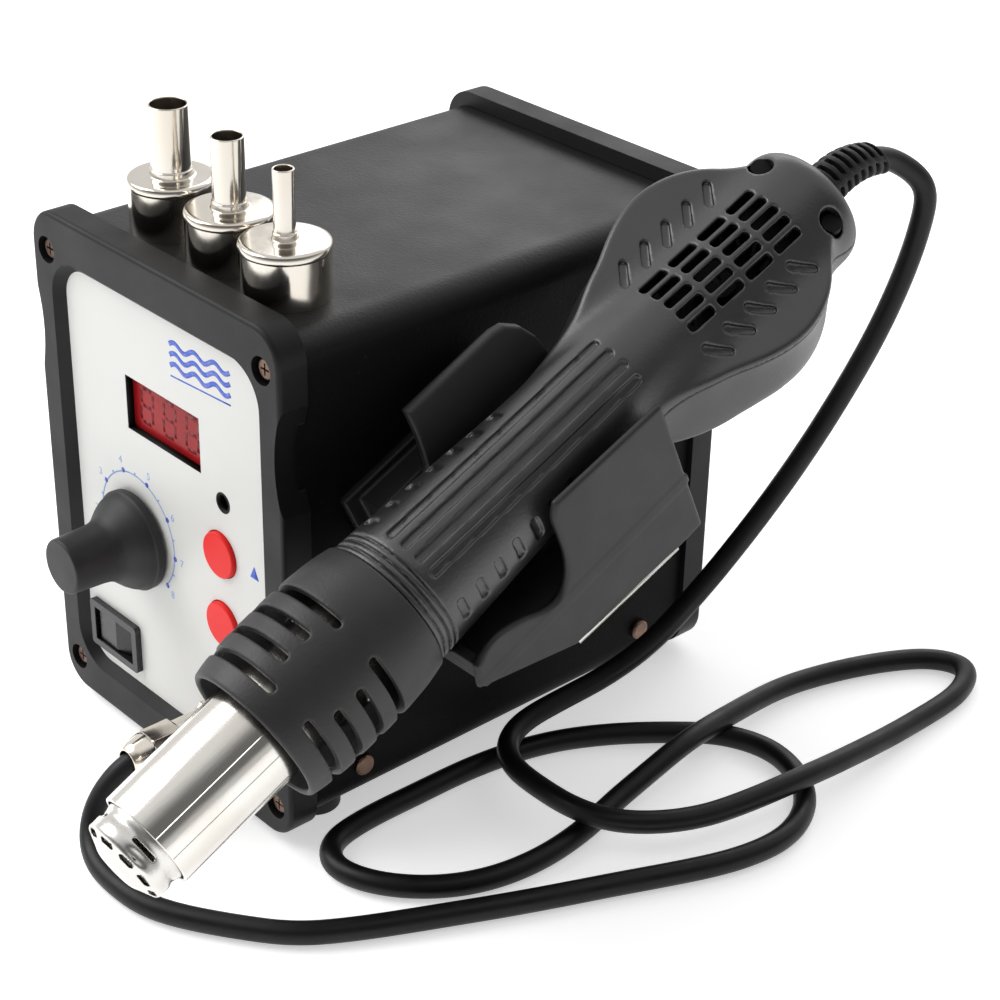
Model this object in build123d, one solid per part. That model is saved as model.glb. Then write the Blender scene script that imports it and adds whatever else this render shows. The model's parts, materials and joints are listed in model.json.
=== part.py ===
from build123d import *
import os
from math import cos, radians, sin, sqrt, tan

# Hot-air rework station, in millimetres.
# +Z is up, the front panel faces -Y, and the gun hangs on the +X side wall.
# The origin is on the bench, under the centre of the case.

os.makedirs("parts", exist_ok=True)

# ---- driving dimensions: case ----
WIDTH = 100.0
DEPTH = 144.0
BEZEL_BOTTOM = 2.8
BEZEL_TOP = 141.0
BEZEL_RADIUS = 9.0
BEZEL_DEPTH = 8.0
SLEEVE_HALF = 48.4
SLEEVE_BOTTOM = 5.2
SLEEVE_TOP = 136.8
SLEEVE_RADIUS = 7.4
SHEET = 1.2
CLEAR = 0.1
FRONT = -DEPTH / 2
PANEL_FACE = FRONT + 2.6
PANEL_THICK = 2.0
PANEL_BACK = PANEL_FACE + PANEL_THICK
SLEEVE_END = DEPTH / 2 - 6.0
SCREW_X = 43.6
SCREW_TOP_Z = 130.6
SCREW_LOW_Z = 11.7
PANEL_HALF = 42.2
PANEL_LOW = 13.0
PANEL_HIGH = 129.8
PANEL_RADIUS = 7.0
NOTCH_DEPTH = 2.4
NOTCH_HALF_HEIGHT = 13.5
NOTCH_Z = 108.5
NOTCH_RADIUS = (NOTCH_HALF_HEIGHT**2 + NOTCH_DEPTH**2) / (2 * NOTCH_DEPTH)
NOTCH_OFFSET = NOTCH_RADIUS - NOTCH_DEPTH
TRAY_SCREW_Y = 48.3
TRAY_SCREW_Z = 16.0
TRAY_FLOOR = 8.4
TRAY_SHEET = 1.0
TRAY_BEND = 4.0

# ---- driving dimensions: front panel controls, as (x, z) on the panel ----
OPENING_HALF = 40.0
OPENING_LOW = 15.2
OPENING_HIGH = 127.6
OPENING_RADIUS = 8.5
WINDOW_CENTRE = (-0.6, 99.0)
WINDOW_SIZE = (30.5, 14.7)
TRIMMER_AT = (23.2, 87.3)
BUTTON_X = 21.4
BUTTON_UP_Z = 72.4
BUTTON_DOWN_Z = 52.7
BUTTON_RADIUS = 6.0
BUTTON_TRAVEL = 0.8
KNOB_AT = (-14.4, 61.1)
KNOB_LENGTH = 23.0
SWITCH_CENTRE = (-27.0, 26.1)
SWITCH_SIZE = (21.1, 13.8)
GLAND_AT = (17.0, 21.6)
GLAND_LENGTH = 27.6
BOARD_Y = -59.0
BOARD_THICK = 1.6
ROCKER_TIP = 9.0
ROCKER_AXIS_Y = PANEL_FACE + 0.6

# ---- driving dimensions: rear panel and electrics ----
INLET_AT = (0.0, 38.0)
INLET_SIZE = (27.0, 31.0)
VENT_ROWS = 7
VENT_TOP_Z = 112.0
VENT_PITCH = 5.0
VENT_HALF = 22.0
TRANSFORMER_Y = 14.0
CORE_LOW = TRAY_FLOOR + TRAY_SHEET + 0.05
POWER_BOARD_Z = 17.0

# ---- driving dimensions: nozzles standing on the case ----
NOZZLE_AT = ((-22.9, -48.1), (2.6, -49.5), (25.8, -51.0))
NOZZLE_TUBE_RADIUS = (4.9, 4.0, 2.6)
NOZZLE_TUBE_LENGTH = (17.9, 17.6, 17.0)
CUP_RADIUS = 11.05
CUP_HEIGHT = 13.8
NOZZLE_SHEET = 0.5

# ---- driving dimensions: hot-air gun ----
GUN_AT = (81.0, -133.2, 54.0)
GUN_TILT = 25.7
GUN_ROLL = 27.0
TIP_RADIUS = 10.7
TIP_REACH = 6.8
BARREL_RADIUS = 12.1
BARREL_END = 100.0
BARREL_SHEET = 0.8
TIP_SHEET = 0.6
GUARD_START = 31.5
GUARD_END = 74.0
SHELL_START = 74.3
HEAD_AT = 185.0
HEAD_RADIUS = 27.0
NECK_SLOPE = 0.3186
HEAD_MID = -5.0
HEAD_HALF = 10.0
NECK_START = 140.0
NECK_HALF = 14.0
CROWN_RISE = 7.0
TAIL_RADIUS = 16.4
TAIL_END = 225.5
SHELL_WALL = 2.0
SPLIT_N = -3.0
INTAKE_START = 171.0
GROOVE_DEPTHS = (12.1, 13.6, 13.6, 12.1)
GUARD_SLOT_START = 38.2
CERAMIC_RADIUS = 9.3
BLOWER_LOW = -12.0
BLOWER_HIGH = 4.6
OUTLET_HALF = 8.5
RELIEF_LENGTH = 18.0
CABLE_RADIUS = 2.9
CABLE_FLOOR_Z = 3.0
CABLE_OVER_Z = 9.4

# ---- driving dimensions: gun holder, about the gun's axis ----
CRADLE_HALF = 20.0
CRADLE_WALL = 2.0
CRADLE_START = 75.2
CRADLE_END = 146.0
HOLDER_SCREWS = ((97.0, -8.0), (132.0, -8.0))
MAGNET_AT = (115.0, -18.0)


def axis_and_normals():
    """Unit vectors of the gun: along it, across it, out of its top."""
    tilt = radians(GUN_TILT)
    roll = radians(90 - GUN_ROLL)
    along = Vector(0, cos(tilt), sin(tilt))
    up = Vector(0, -sin(tilt), cos(tilt))
    top = Vector(1, 0, 0) * cos(roll) + up * sin(roll)
    return along, up, top


ALONG, UP, TOP = axis_and_normals()
GUN = Plane(origin=GUN_AT, x_dir=ALONG, z_dir=TOP)
HOLDER = Plane(origin=GUN_AT, x_dir=ALONG, z_dir=UP)


# ---- shared shapes ----
def block(x0, x1, y0, y1, z0, z1):
    """A box between two corners."""
    centre = Pos((x0 + x1) / 2, (y0 + y1) / 2, (z0 + z1) / 2)
    return centre * Box(abs(x1 - x0), abs(y1 - y0), abs(z1 - z0))


def rod(start, direction, radius, length):
    """A cylinder that starts at a point and runs along a direction."""
    base = Plane(origin=start, z_dir=direction)
    return base * Cylinder(radius, length, align=(Align.CENTER, Align.CENTER, Align.MIN))


def rod_y(x, z, y0, y1, radius):
    """A cylinder along Y."""
    return rod((x, y0, z), (0, 1, 0), radius, y1 - y0)


def slab(half, low, high, radius, y0, y1):
    """A rounded rectangle, upright in XZ, thickened from y0 to y1."""
    face = Plane(origin=(0, y0, (low + high) / 2), x_dir=(1, 0, 0), z_dir=(0, 1, 0))
    outline = face * RectangleRounded(2 * half, high - low, radius)
    return extrude(outline, amount=y1 - y0, dir=(0, 1, 0))


def spun(points, plane):
    """A solid of revolution: points are (distance along the axis, radius)."""
    outline = Polyline([(d, r) for d, r in points], close=True)
    profile = make_face(outline)
    return plane * revolve(profile, axis=Axis.X)


def pieces(shapes):
    """Several separate solids held in one node."""
    return Compound(children=list(shapes))


def save(name, shape):
    """Write one sub-part under its node name."""
    export_step(shape, f"parts/{name}.step")


# ---- case ----
def case_shell():
    outer = slab(SLEEVE_HALF, SLEEVE_BOTTOM, SLEEVE_TOP, SLEEVE_RADIUS, -SLEEVE_END, SLEEVE_END)
    inner = slab(
        SLEEVE_HALF - SHEET,
        SLEEVE_BOTTOM + SHEET,
        SLEEVE_TOP - SHEET,
        SLEEVE_RADIUS - SHEET,
        -SLEEVE_END - 1,
        SLEEVE_END + 1,
    )
    shell = outer - inner
    for end in (-1, 1):
        for x in (-SCREW_X, SCREW_X):
            for z in (SCREW_LOW_Z, SCREW_TOP_Z):
                shell += corner_tab(x, z, end)
                shell -= rod_y(x, z, end * SLEEVE_END - 3, end * SLEEVE_END + 3, 1.55)
    for side in (-1, 1):
        for y in (-TRAY_SCREW_Y, TRAY_SCREW_Y):
            shell -= rod((side * SLEEVE_HALF - 4, y, TRAY_SCREW_Z), (1, 0, 0), 1.6, 8)
    for s, drop in HOLDER_SCREWS:
        at = holder_screw_point(s, drop)
        shell -= rod((SLEEVE_HALF - 4, at.Y, at.Z), (1, 0, 0), 1.6, 8)
    for x, y in foot_places():
        shell -= rod((x, y, 0), (0, 0, 1), 1.6, 8)
    return shell


def corner_tab(x, z, end):
    """A folded ear inside the sleeve's corner that takes a bezel screw."""
    side = 1 if x > 0 else -1
    up = 1 if z > 70 else -1
    edge_x = side * (SLEEVE_HALF - SHEET / 2)
    edge_z = SLEEVE_TOP - SHEET / 2 if up > 0 else SLEEVE_BOTTOM + SHEET / 2
    y = end * SLEEVE_END
    ear = block(x - side * 4, edge_x, y, y - end * SHEET, z - up * 4, edge_z)
    limit = slab(
        SLEEVE_HALF - SHEET / 2,
        SLEEVE_BOTTOM + SHEET / 2,
        SLEEVE_TOP - SHEET / 2,
        SLEEVE_RADIUS - SHEET / 2,
        -SLEEVE_END,
        SLEEVE_END,
    )
    return ear & limit


def bezel():
    """The front bezel; the rear one is the same moulding turned about Z."""
    body = slab(WIDTH / 2, BEZEL_BOTTOM, BEZEL_TOP, BEZEL_RADIUS, FRONT, FRONT + BEZEL_DEPTH)
    body = fillet(body.faces().sort_by(Axis.Y)[0].edges(), 1.2)
    body -= slab(
        OPENING_HALF, OPENING_LOW, OPENING_HIGH, OPENING_RADIUS, FRONT - 1, FRONT + BEZEL_DEPTH + 1
    )
    bevel = loft([opening_face(2.4, FRONT - 0.01), opening_face(0, PANEL_FACE + 0.01)])
    body -= bevel
    body -= slab(
        PANEL_HALF + CLEAR,
        PANEL_LOW - CLEAR,
        PANEL_HIGH + CLEAR,
        PANEL_RADIUS,
        PANEL_FACE,
        FRONT + BEZEL_DEPTH,
    )
    body -= slab(
        SLEEVE_HALF + CLEAR,
        SLEEVE_BOTTOM - CLEAR,
        SLEEVE_TOP + CLEAR,
        SLEEVE_RADIUS + CLEAR,
        -SLEEVE_END,
        FRONT + BEZEL_DEPTH + 1,
    )
    for x in (-SCREW_X, SCREW_X):
        for z in (SCREW_LOW_Z, SCREW_TOP_Z):
            body -= rod_y(x, z, FRONT - 1, FRONT + 9, 1.6)
            body -= rod_y(x, z, FRONT - 1, FRONT + 2.6, 3.5)
    for side in (-1, 1):
        body -= rod_y(side * (WIDTH / 2 + NOTCH_OFFSET), NOTCH_Z, FRONT - 1, FRONT + 9, NOTCH_RADIUS)
    return body


def opening_face(grow, y):
    """The panel opening's outline, grown by a margin, at a depth y."""
    centre = (OPENING_LOW + OPENING_HIGH) / 2
    plane = Plane(origin=(0, y, centre), x_dir=(1, 0, 0), z_dir=(0, 1, 0))
    width = 2 * (OPENING_HALF + grow)
    height = OPENING_HIGH - OPENING_LOW + 2 * grow
    return plane * RectangleRounded(width, height, OPENING_RADIUS + grow)


def front_panel():
    panel = slab(PANEL_HALF, PANEL_LOW, PANEL_HIGH, PANEL_RADIUS, PANEL_FACE, PANEL_BACK)
    near, far = PANEL_FACE - 1, PANEL_BACK + 1
    panel -= upright_box(WINDOW_CENTRE, WINDOW_SIZE, near, far)
    panel -= upright_box(SWITCH_CENTRE, (SWITCH_SIZE[0] - 1.6, SWITCH_SIZE[1] - 1.6), near, far)
    panel -= rod_y(*TRIMMER_AT, near, far, 2.3)
    panel -= rod_y(*KNOB_AT, near, far, 3.7)
    panel -= rod_y(*GLAND_AT, near, far, 5.6)
    for z in (BUTTON_UP_Z, BUTTON_DOWN_Z):
        panel -= rod_y(BUTTON_X, z, near, far, BUTTON_RADIUS + 0.25)
    return panel


def upright_box(centre, size, y0, y1):
    """A box given by its centre and size on the panel."""
    x, z = centre
    return block(x - size[0] / 2, x + size[0] / 2, y0, y1, z - size[1] / 2, z + size[1] / 2)


def rear_panel():
    y0, y1 = -PANEL_BACK, -PANEL_FACE
    panel = slab(PANEL_HALF, PANEL_LOW, PANEL_HIGH, PANEL_RADIUS, y0, y1)
    panel -= upright_box(INLET_AT, (INLET_SIZE[0] + 0.4, INLET_SIZE[1] + 0.4), y0 - 1, y1 + 1)
    for row in range(VENT_ROWS):
        z = VENT_TOP_Z - row * VENT_PITCH
        panel -= block(-VENT_HALF, VENT_HALF, y0 - 1, y1 + 1, z - 1.2, z + 1.2)
    return panel


def bezel_screw(x, z, end):
    """A pan-head screw with a cross recess; end is -1 at the front, 1 at the rear."""
    head_y = end * (DEPTH / 2 - 2.6)
    shank = rod((x, head_y, z), (0, -end, 0), 1.45, 7)
    head = rod((x, head_y, z), (0, end, 0), 2.7, 1.5)
    crown = head.faces().sort_by(Axis.Y)[0 if end < 0 else -1]
    head = fillet(crown.edges(), 0.6)
    slot = block(x - 1.5, x + 1.5, head_y + end * 0.8, head_y + end * 1.6, z - 0.25, z + 0.25)
    cross = block(x - 0.25, x + 0.25, head_y + end * 0.8, head_y + end * 1.6, z - 1.5, z + 1.5)
    return shank + head - slot - cross


def bezel_screws():
    places = [(x, z) for x in (-SCREW_X, SCREW_X) for z in (SCREW_LOW_Z, SCREW_TOP_Z)]
    return pieces(bezel_screw(x, z, end) for x, z in places for end in (-1, 1))


def side_screw(side, y):
    """A button-head screw through the sleeve into the tray's flange."""
    shank = rod((side * SLEEVE_HALF, y, TRAY_SCREW_Z), (-side, 0, 0), 1.45, 6)
    head = rod((side * SLEEVE_HALF, y, TRAY_SCREW_Z), (side, 0, 0), 2.8, 1.5)
    rim = head.faces().sort_by(Axis.X)[0 if side < 0 else -1]
    return shank + fillet(rim.edges(), 0.7)


def side_screws():
    return pieces(side_screw(side, y) for side in (-1, 1) for y in (-TRAY_SCREW_Y, TRAY_SCREW_Y))


def bent_trough(half, low, high, length, bend):
    """A block along Y whose two lower edges are rounded."""
    shape = block(-half, half, -length, length, low, high)
    return fillet(shape.edges().filter_by(Axis.Y).group_by(Axis.Z)[0], bend)


def chassis_tray():
    """The folded tray that carries the transformer and the power board."""
    half = SLEEVE_HALF - SHEET - 0.2
    tray = bent_trough(half, TRAY_FLOOR, 24, 56, TRAY_BEND)
    tray -= bent_trough(half - TRAY_SHEET, TRAY_FLOOR + TRAY_SHEET, 25, 57, TRAY_BEND - TRAY_SHEET)
    for side in (-1, 1):
        for y in (-TRAY_SCREW_Y, TRAY_SCREW_Y):
            tray -= rod((side * half - 3, y, TRAY_SCREW_Z), (1, 0, 0), 1.55, 6)
    for x, y in transformer_bolts() + power_posts():
        tray -= rod((x, y, TRAY_FLOOR - 1), (0, 0, 1), 1.6, 4)
    return tray


def foot_places():
    return [(x, y) for x in (-36, 36) for y in (-54, 54)]


def rubber_foot(x, y):
    """A turned foot with a recess for its screw."""
    foot = rod((x, y, 0), (0, 0, 1), 6.5, SLEEVE_BOTTOM)
    foot = fillet(foot.faces().sort_by(Axis.Z)[0].edges(), 0.8)
    foot -= rod((x, y, -1), (0, 0, 1), 3.2, 3)
    return foot - rod((x, y, 0), (0, 0, 1), 1.6, 8)


def foot_screw(x, y):
    head = rod((x, y, 0.8), (0, 0, 1), 2.7, 1.2)
    return head + rod((x, y, 0.8), (0, 0, 1), 1.45, 6.8)


# ---- parts on the front panel ----
def display_window():
    x, z = WINDOW_CENTRE
    size = (WINDOW_SIZE[0] + 4, WINDOW_SIZE[1] + 4)
    return upright_box((x, z), size, PANEL_BACK + 0.05, PANEL_BACK + 1.5)


def display_module():
    """The three-digit display block, with its digits as shallow wells."""
    x, z = WINDOW_CENTRE
    body = upright_box((x, z), (WINDOW_SIZE[0] - 0.5, WINDOW_SIZE[1]), PANEL_BACK + 1.7, BOARD_Y)
    for digit in (-1, 0, 1):
        well = upright_box((x + digit * 9.4, z), (6.4, 10.6), 0, 0.3)
        body -= Pos(0, PANEL_BACK + 1.7, 0) * well
    return body


def control_board():
    """The board behind the panel, bored for the gland and the switch."""
    board = block(-39, 39, BOARD_Y, BOARD_Y + BOARD_THICK, 41, 124)
    for x, z in control_posts():
        board -= rod_y(x, z, BOARD_Y - 1, BOARD_Y + 3, 1.6)
    return board


def control_posts():
    return [(x, z) for x in (-35, 35) for z in (46, 119)]


def control_board_posts():
    """Spacers between the panel and the control board, with their screw holes."""
    return [
        rod_y(x, z, PANEL_BACK + 0.05, BOARD_Y - 0.05, 3)
        - rod_y(x, z, PANEL_BACK + 1, BOARD_Y + 1, 1.5)
        for x, z in control_posts()
    ]


def potentiometer():
    x, z = KNOB_AT
    can = rod_y(x, z, PANEL_BACK + 0.3, BOARD_Y - 0.05, 8)
    bush = rod_y(x, z, PANEL_FACE - 2.4, PANEL_BACK + 1, 3.5)
    return can + bush - rod_y(x, z, PANEL_FACE - 4, PANEL_BACK + 4.5, 3.06)


def potentiometer_nut():
    x, z = KNOB_AT
    face = Plane(origin=(x, PANEL_FACE - 2.0, z), x_dir=(1, 0, 0), z_dir=(0, 1, 0))
    nut = extrude(face * RegularPolygon(5.4, 6), amount=1.95, dir=(0, 1, 0))
    return nut - rod_y(x, z, PANEL_FACE - 4, PANEL_FACE + 1, 3.6)


def potentiometer_shaft():
    x, z = KNOB_AT
    shaft = rod_y(x, z, PANEL_FACE - KNOB_LENGTH + 8, PANEL_BACK + 4, 3.0)
    flat = block(x - 3, x + 3, PANEL_FACE - KNOB_LENGTH + 7, PANEL_FACE - 5, z + 2.2, z + 4)
    return shaft - flat


def airflow_knob():
    """A skirted knob: a wide rim, a shoulder, and a slim grip with a pointer groove."""
    x, z = KNOB_AT
    tip = PANEL_FACE - KNOB_LENGTH
    outline = [
        (0.7, 13.3),
        (2.6, 13.3),
        (3.4, 12.7),
        (5.6, 11.2),
        (7.6, 9.6),
        (9.2, 8.2),
        (10.6, 7.4),
        (12.0, 7.15),
        (KNOB_LENGTH - 0.5, 6.9),
        (KNOB_LENGTH, 6.4),
        (KNOB_LENGTH, 0),
        (0.7, 0),
    ]
    plane = Plane(origin=(x, PANEL_FACE, z), x_dir=(0, -1, 0), z_dir=(0, 0, 1))
    knob = spun(outline, plane)
    knob -= rod_y(x, z, PANEL_FACE - 4.2, PANEL_FACE + 1, 7.0)
    bore = rod_y(x, z, tip + 6, PANEL_FACE + 1, 3.05)
    knob -= bore - block(x - 3, x + 3, tip + 5, PANEL_FACE - 5, z + 2.25, z + 4)
    return knob


def temperature_button(z):
    """A round cap with a retaining flange and a stem to its switch."""
    cap = rod_y(BUTTON_X, z, PANEL_FACE - 1.2, PANEL_BACK + 1.2, BUTTON_RADIUS)
    cap = fillet(cap.faces().sort_by(Axis.Y)[0].edges(), 0.5)
    flange = rod_y(BUTTON_X, z, PANEL_BACK + 0.2, PANEL_BACK + 1.2, BUTTON_RADIUS + 1)
    stem = rod_y(BUTTON_X, z, PANEL_BACK + 1, BOARD_Y - 4.0 - BUTTON_TRAVEL - 0.1, 1.6)
    return cap + flange + stem


def tact_switch(z):
    """A push switch on the board, under one button's stem."""
    can = upright_box((BUTTON_X, z), (6, 6), BOARD_Y - 3.3, BOARD_Y - 0.02)
    return can + rod_y(BUTTON_X, z, BOARD_Y - 4.0, BOARD_Y - 3.2, 1.7)


def cal_trimmer():
    x, z = TRIMMER_AT
    can = rod_y(x, z, BOARD_Y - 5, BOARD_Y - 0.02, 3.1)
    return can - upright_box(TRIMMER_AT, (4, 0.6), BOARD_Y - 5.1, BOARD_Y - 4.4)


def power_switch_frame():
    """The switch's bezel and body, open at the front for its rocker, with its blade terminals."""
    x, z = SWITCH_CENTRE
    flange = upright_box(SWITCH_CENTRE, SWITCH_SIZE, PANEL_FACE - 1.7, PANEL_FACE - 0.02)
    flange = fillet(flange.edges().filter_by(Axis.Y), 1.0)
    size = (SWITCH_SIZE[0] - 2, SWITCH_SIZE[1] - 2)
    body = upright_box(SWITCH_CENTRE, size, PANEL_FACE - 0.5, PANEL_FACE + 14)
    cavity = upright_box(SWITCH_CENTRE, (17.0, 9.8), PANEL_FACE - 3, PANEL_FACE + 9)
    frame = flange + body - cavity
    for dx in (-5, 5):
        frame += upright_box((x + dx, z), (4.8, 0.8), PANEL_FACE + 13, PANEL_FACE + 21)
    return frame


def power_rocker():
    """The rocker, built level and then tipped to its off side."""
    x, z = SWITCH_CENTRE
    outline = Polyline(
        [(-7.7, 1.6), (-7.5, -0.3), (0, -1.7), (7.5, -0.3), (7.7, 1.6), (5.6, 6.0), (-5.6, 6.0)],
        close=True,
    )
    section = Plane(origin=(0, 0, 0), x_dir=(1, 0, 0), z_dir=(0, 0, 1)) * make_face(outline)
    rocker = extrude(section, amount=4.6, both=True, dir=(0, 0, 1))
    tipped = Rot(0, 0, ROCKER_TIP) * rocker
    return Pos(x, ROCKER_AXIS_Y, z) * tipped


def cable_gland():
    """The metal cable entry: hexagon flange, sleeve and clamping dome."""
    x, z = GLAND_AT
    face = Plane(origin=(x, PANEL_FACE - 4.0, z), x_dir=(1, 0, 0), z_dir=(0, 1, 0))
    gland = extrude(face * RegularPolygon(6.9, 6), amount=3.98, dir=(0, 1, 0))
    plane = Plane(origin=(x, PANEL_FACE, z), x_dir=(0, -1, 0), z_dir=(0, 0, 1))
    sleeve = [
        (-9.0, 5.4),
        (1.0, 5.4),
        (12.6, 5.4),
        (13.0, 5.9),
        (21.4, 5.9),
        (25.0, 5.2),
        (GLAND_LENGTH, 3.9),
        (GLAND_LENGTH, 0),
        (-9.0, 0),
    ]
    gland += spun(sleeve, plane)
    return gland - rod_y(x, z, PANEL_FACE - GLAND_LENGTH - 1, PANEL_FACE + 10, CABLE_RADIUS + 0.15)


def gland_nut():
    x, z = GLAND_AT
    face = Plane(origin=(x, PANEL_BACK + 0.05, z), x_dir=(1, 0, 0), z_dir=(0, 1, 0))
    nut = extrude(face * RegularPolygon(8, 6), amount=3, dir=(0, 1, 0))
    return nut - rod_y(x, z, PANEL_BACK - 1, PANEL_BACK + 5, 5.5)


# ---- electrics inside the case ----
def transformer_bolts():
    return [(x, TRANSFORMER_Y + y) for x in (-29.4, 29.4) for y in (-13, 13)]


def power_posts():
    return [(x, y) for x in (-30, 30) for y in (-46, -14)]


def transformer_core():
    """E-I laminations: an outer yoke with a centre leg, and mounting lugs."""
    y0, y1 = TRANSFORMER_Y - 13, TRANSFORMER_Y + 13
    core = block(-26, 26, y0, y1, CORE_LOW, CORE_LOW + 44)
    for x in (-14.5, 14.5):
        core -= block(x - 6.5, x + 6.5, y0 - 1, y1 + 1, CORE_LOW + 9, CORE_LOW + 35)
    return core


def transformer_clamp():
    """The steel strap round the core, with its two feet."""
    y0, y1 = TRANSFORMER_Y - 15, TRANSFORMER_Y + 15
    low = CORE_LOW
    strap = block(-27.2, 27.2, TRANSFORMER_Y - 8, TRANSFORMER_Y + 8, low, low + 45.2)
    strap -= block(-26.1, 26.1, y0, y1, low - 1, low + 44.1)
    clamp = strap
    for side in (-1, 1):
        clamp += block(side * 26.1, side * 33, y0 - 1, y1 + 1, low, low + 1.1)
    for x, y in transformer_bolts():
        clamp -= rod((x, y, low - 1), (0, 0, 1), 1.6, 4)
    return clamp


def transformer_windings():
    """Two coils on a bobbin round the centre leg."""
    coils = []
    for low, high in ((9.3, 21.6), (22.4, 34.7)):
        front, back = TRANSFORMER_Y - 21, TRANSFORMER_Y + 21
        coil = block(-20.6, 20.6, front, back, CORE_LOW + low, CORE_LOW + high)
        coil = fillet(coil.edges().filter_by(Axis.Z), 5)
        hole = block(-8.3, 8.3, TRANSFORMER_Y - 13.3, TRANSFORMER_Y + 13.3, CORE_LOW, CORE_LOW + 44)
        coils.append(coil - hole)
    return pieces(coils)


def tray_bolt(x, y, low, length):
    """A small machine screw standing up through the tray."""
    head = rod((x, y, low + length), (0, 0, 1), 2.6, 1.6)
    return head + rod((x, y, low), (0, 0, 1), 1.4, length + 0.5)


def transformer_screws():
    low = TRAY_FLOOR - 1
    return [tray_bolt(x, y, low, CORE_LOW + 1.2 - low) for x, y in transformer_bolts()]


def power_board():
    board = block(-35, 35, -50, -9, POWER_BOARD_Z, POWER_BOARD_Z + 1.6)
    for x, y in power_posts():
        board -= rod((x, y, POWER_BOARD_Z - 1), (0, 0, 1), 1.6, 4)
    return board


def power_board_posts():
    low = TRAY_FLOOR + TRAY_SHEET + 0.05
    height = POWER_BOARD_Z - 0.05 - low
    return [
        rod((x, y, low), (0, 0, 1), 3, height) - rod((x, y, low - 1), (0, 0, 1), 1.5, height + 2)
        for x, y in power_posts()
    ]


def power_board_screws():
    return [tray_bolt(x, y, POWER_BOARD_Z - 4, 5.65) for x, y in power_posts()]


def heat_sink():
    """A finned aluminium extrusion for the triac."""
    low = POWER_BOARD_Z + 1.65
    sink = block(12, 32, -40, -37, low, low + 26)
    for fin in range(5):
        x = 12 + fin * 4.5
        sink += block(x, x + 1.4, -37.5, -26, low, low + 26)
    return sink


def triac():
    low = POWER_BOARD_Z + 1.65
    body = block(17, 27, -44.6, -40.1, low + 8, low + 23)
    for x in (19.5, 22, 24.5):
        body += block(x - 0.4, x + 0.4, -42.8, -42.2, low, low + 8.5)
    return body


def capacitors():
    """Smoothing capacitors of the low-voltage supply."""
    low = POWER_BOARD_Z + 1.65
    places = [(-22, -38, 6, 20), (-22, -22, 6, 20), (-4, -30, 4, 12)]
    cans = []
    for x, y, radius, height in places:
        can = rod((x, y, low), (0, 0, 1), radius, height)
        cans.append(fillet(can.faces().sort_by(Axis.Z)[-1].edges(), 0.8))
    return pieces(cans)


def mains_inlet():
    """The mains socket with a bay for the fuse drawer under it."""
    x, z = INLET_AT
    rear = -PANEL_FACE
    body = upright_box(INLET_AT, INLET_SIZE, rear - 20, rear + 0.02)
    flange = upright_box(INLET_AT, (INLET_SIZE[0] + 4, INLET_SIZE[1] + 4), rear + 0.02, rear + 2.2)
    flange = fillet(flange.edges().filter_by(Axis.Y), 2)
    socket = upright_box((x, z + 4.5), (23, 15), rear - 15, rear + 4)
    socket = fillet(socket.edges().filter_by(Axis.Y).group_by(Axis.Z)[-1], 3.5)
    bay = upright_box((x, z - 10), (20.3, 7.3), rear - 16, rear + 4)
    inlet = body + flange - socket - bay
    for dx, dz in ((-7, 3), (7, 3), (0, 7)):
        inlet += upright_box((x + dx, z + dz), (1.6, 4.0), rear - 16, rear - 1.5)
    return inlet


def fuse_drawer():
    """The drawer that holds the mains fuse; it pulls out of the inlet."""
    x, z = INLET_AT
    rear = -PANEL_FACE
    drawer = upright_box((x, z - 10), (20, 7), rear - 15, rear + 2.2)
    drawer -= upright_box((x, z - 7.6), (8, 3), rear + 1.2, rear + 3)
    return drawer - block(x - 7, x + 7, rear - 12, rear - 4, z - 13, z - 7.8)


def mains_fuse():
    x, z = INLET_AT
    rear = -PANEL_FACE
    return rod((x - 6.5, rear - 8, z - 10.2), (1, 0, 0), 2.0, 13)


# ---- gun holder on the side wall ----
def holder_screw_point(s, drop):
    """Where a holder screw meets the wall: s along the gun, drop across it."""
    return Vector(GUN_AT) + ALONG * s + UP * drop


def holder_outline(points, inner_x, outer_x):
    """A plate in the holder's own upright plane, between two distances from the gun axis."""
    plane = Plane(origin=HOLDER.from_local_coords(Vector(0, -inner_x, 0)), x_dir=ALONG, z_dir=(1, 0, 0))
    face = plane * make_face(Polyline([(s, h) for s, h in points], close=True))
    return extrude(face, amount=outer_x - inner_x, dir=(1, 0, 0))


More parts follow.
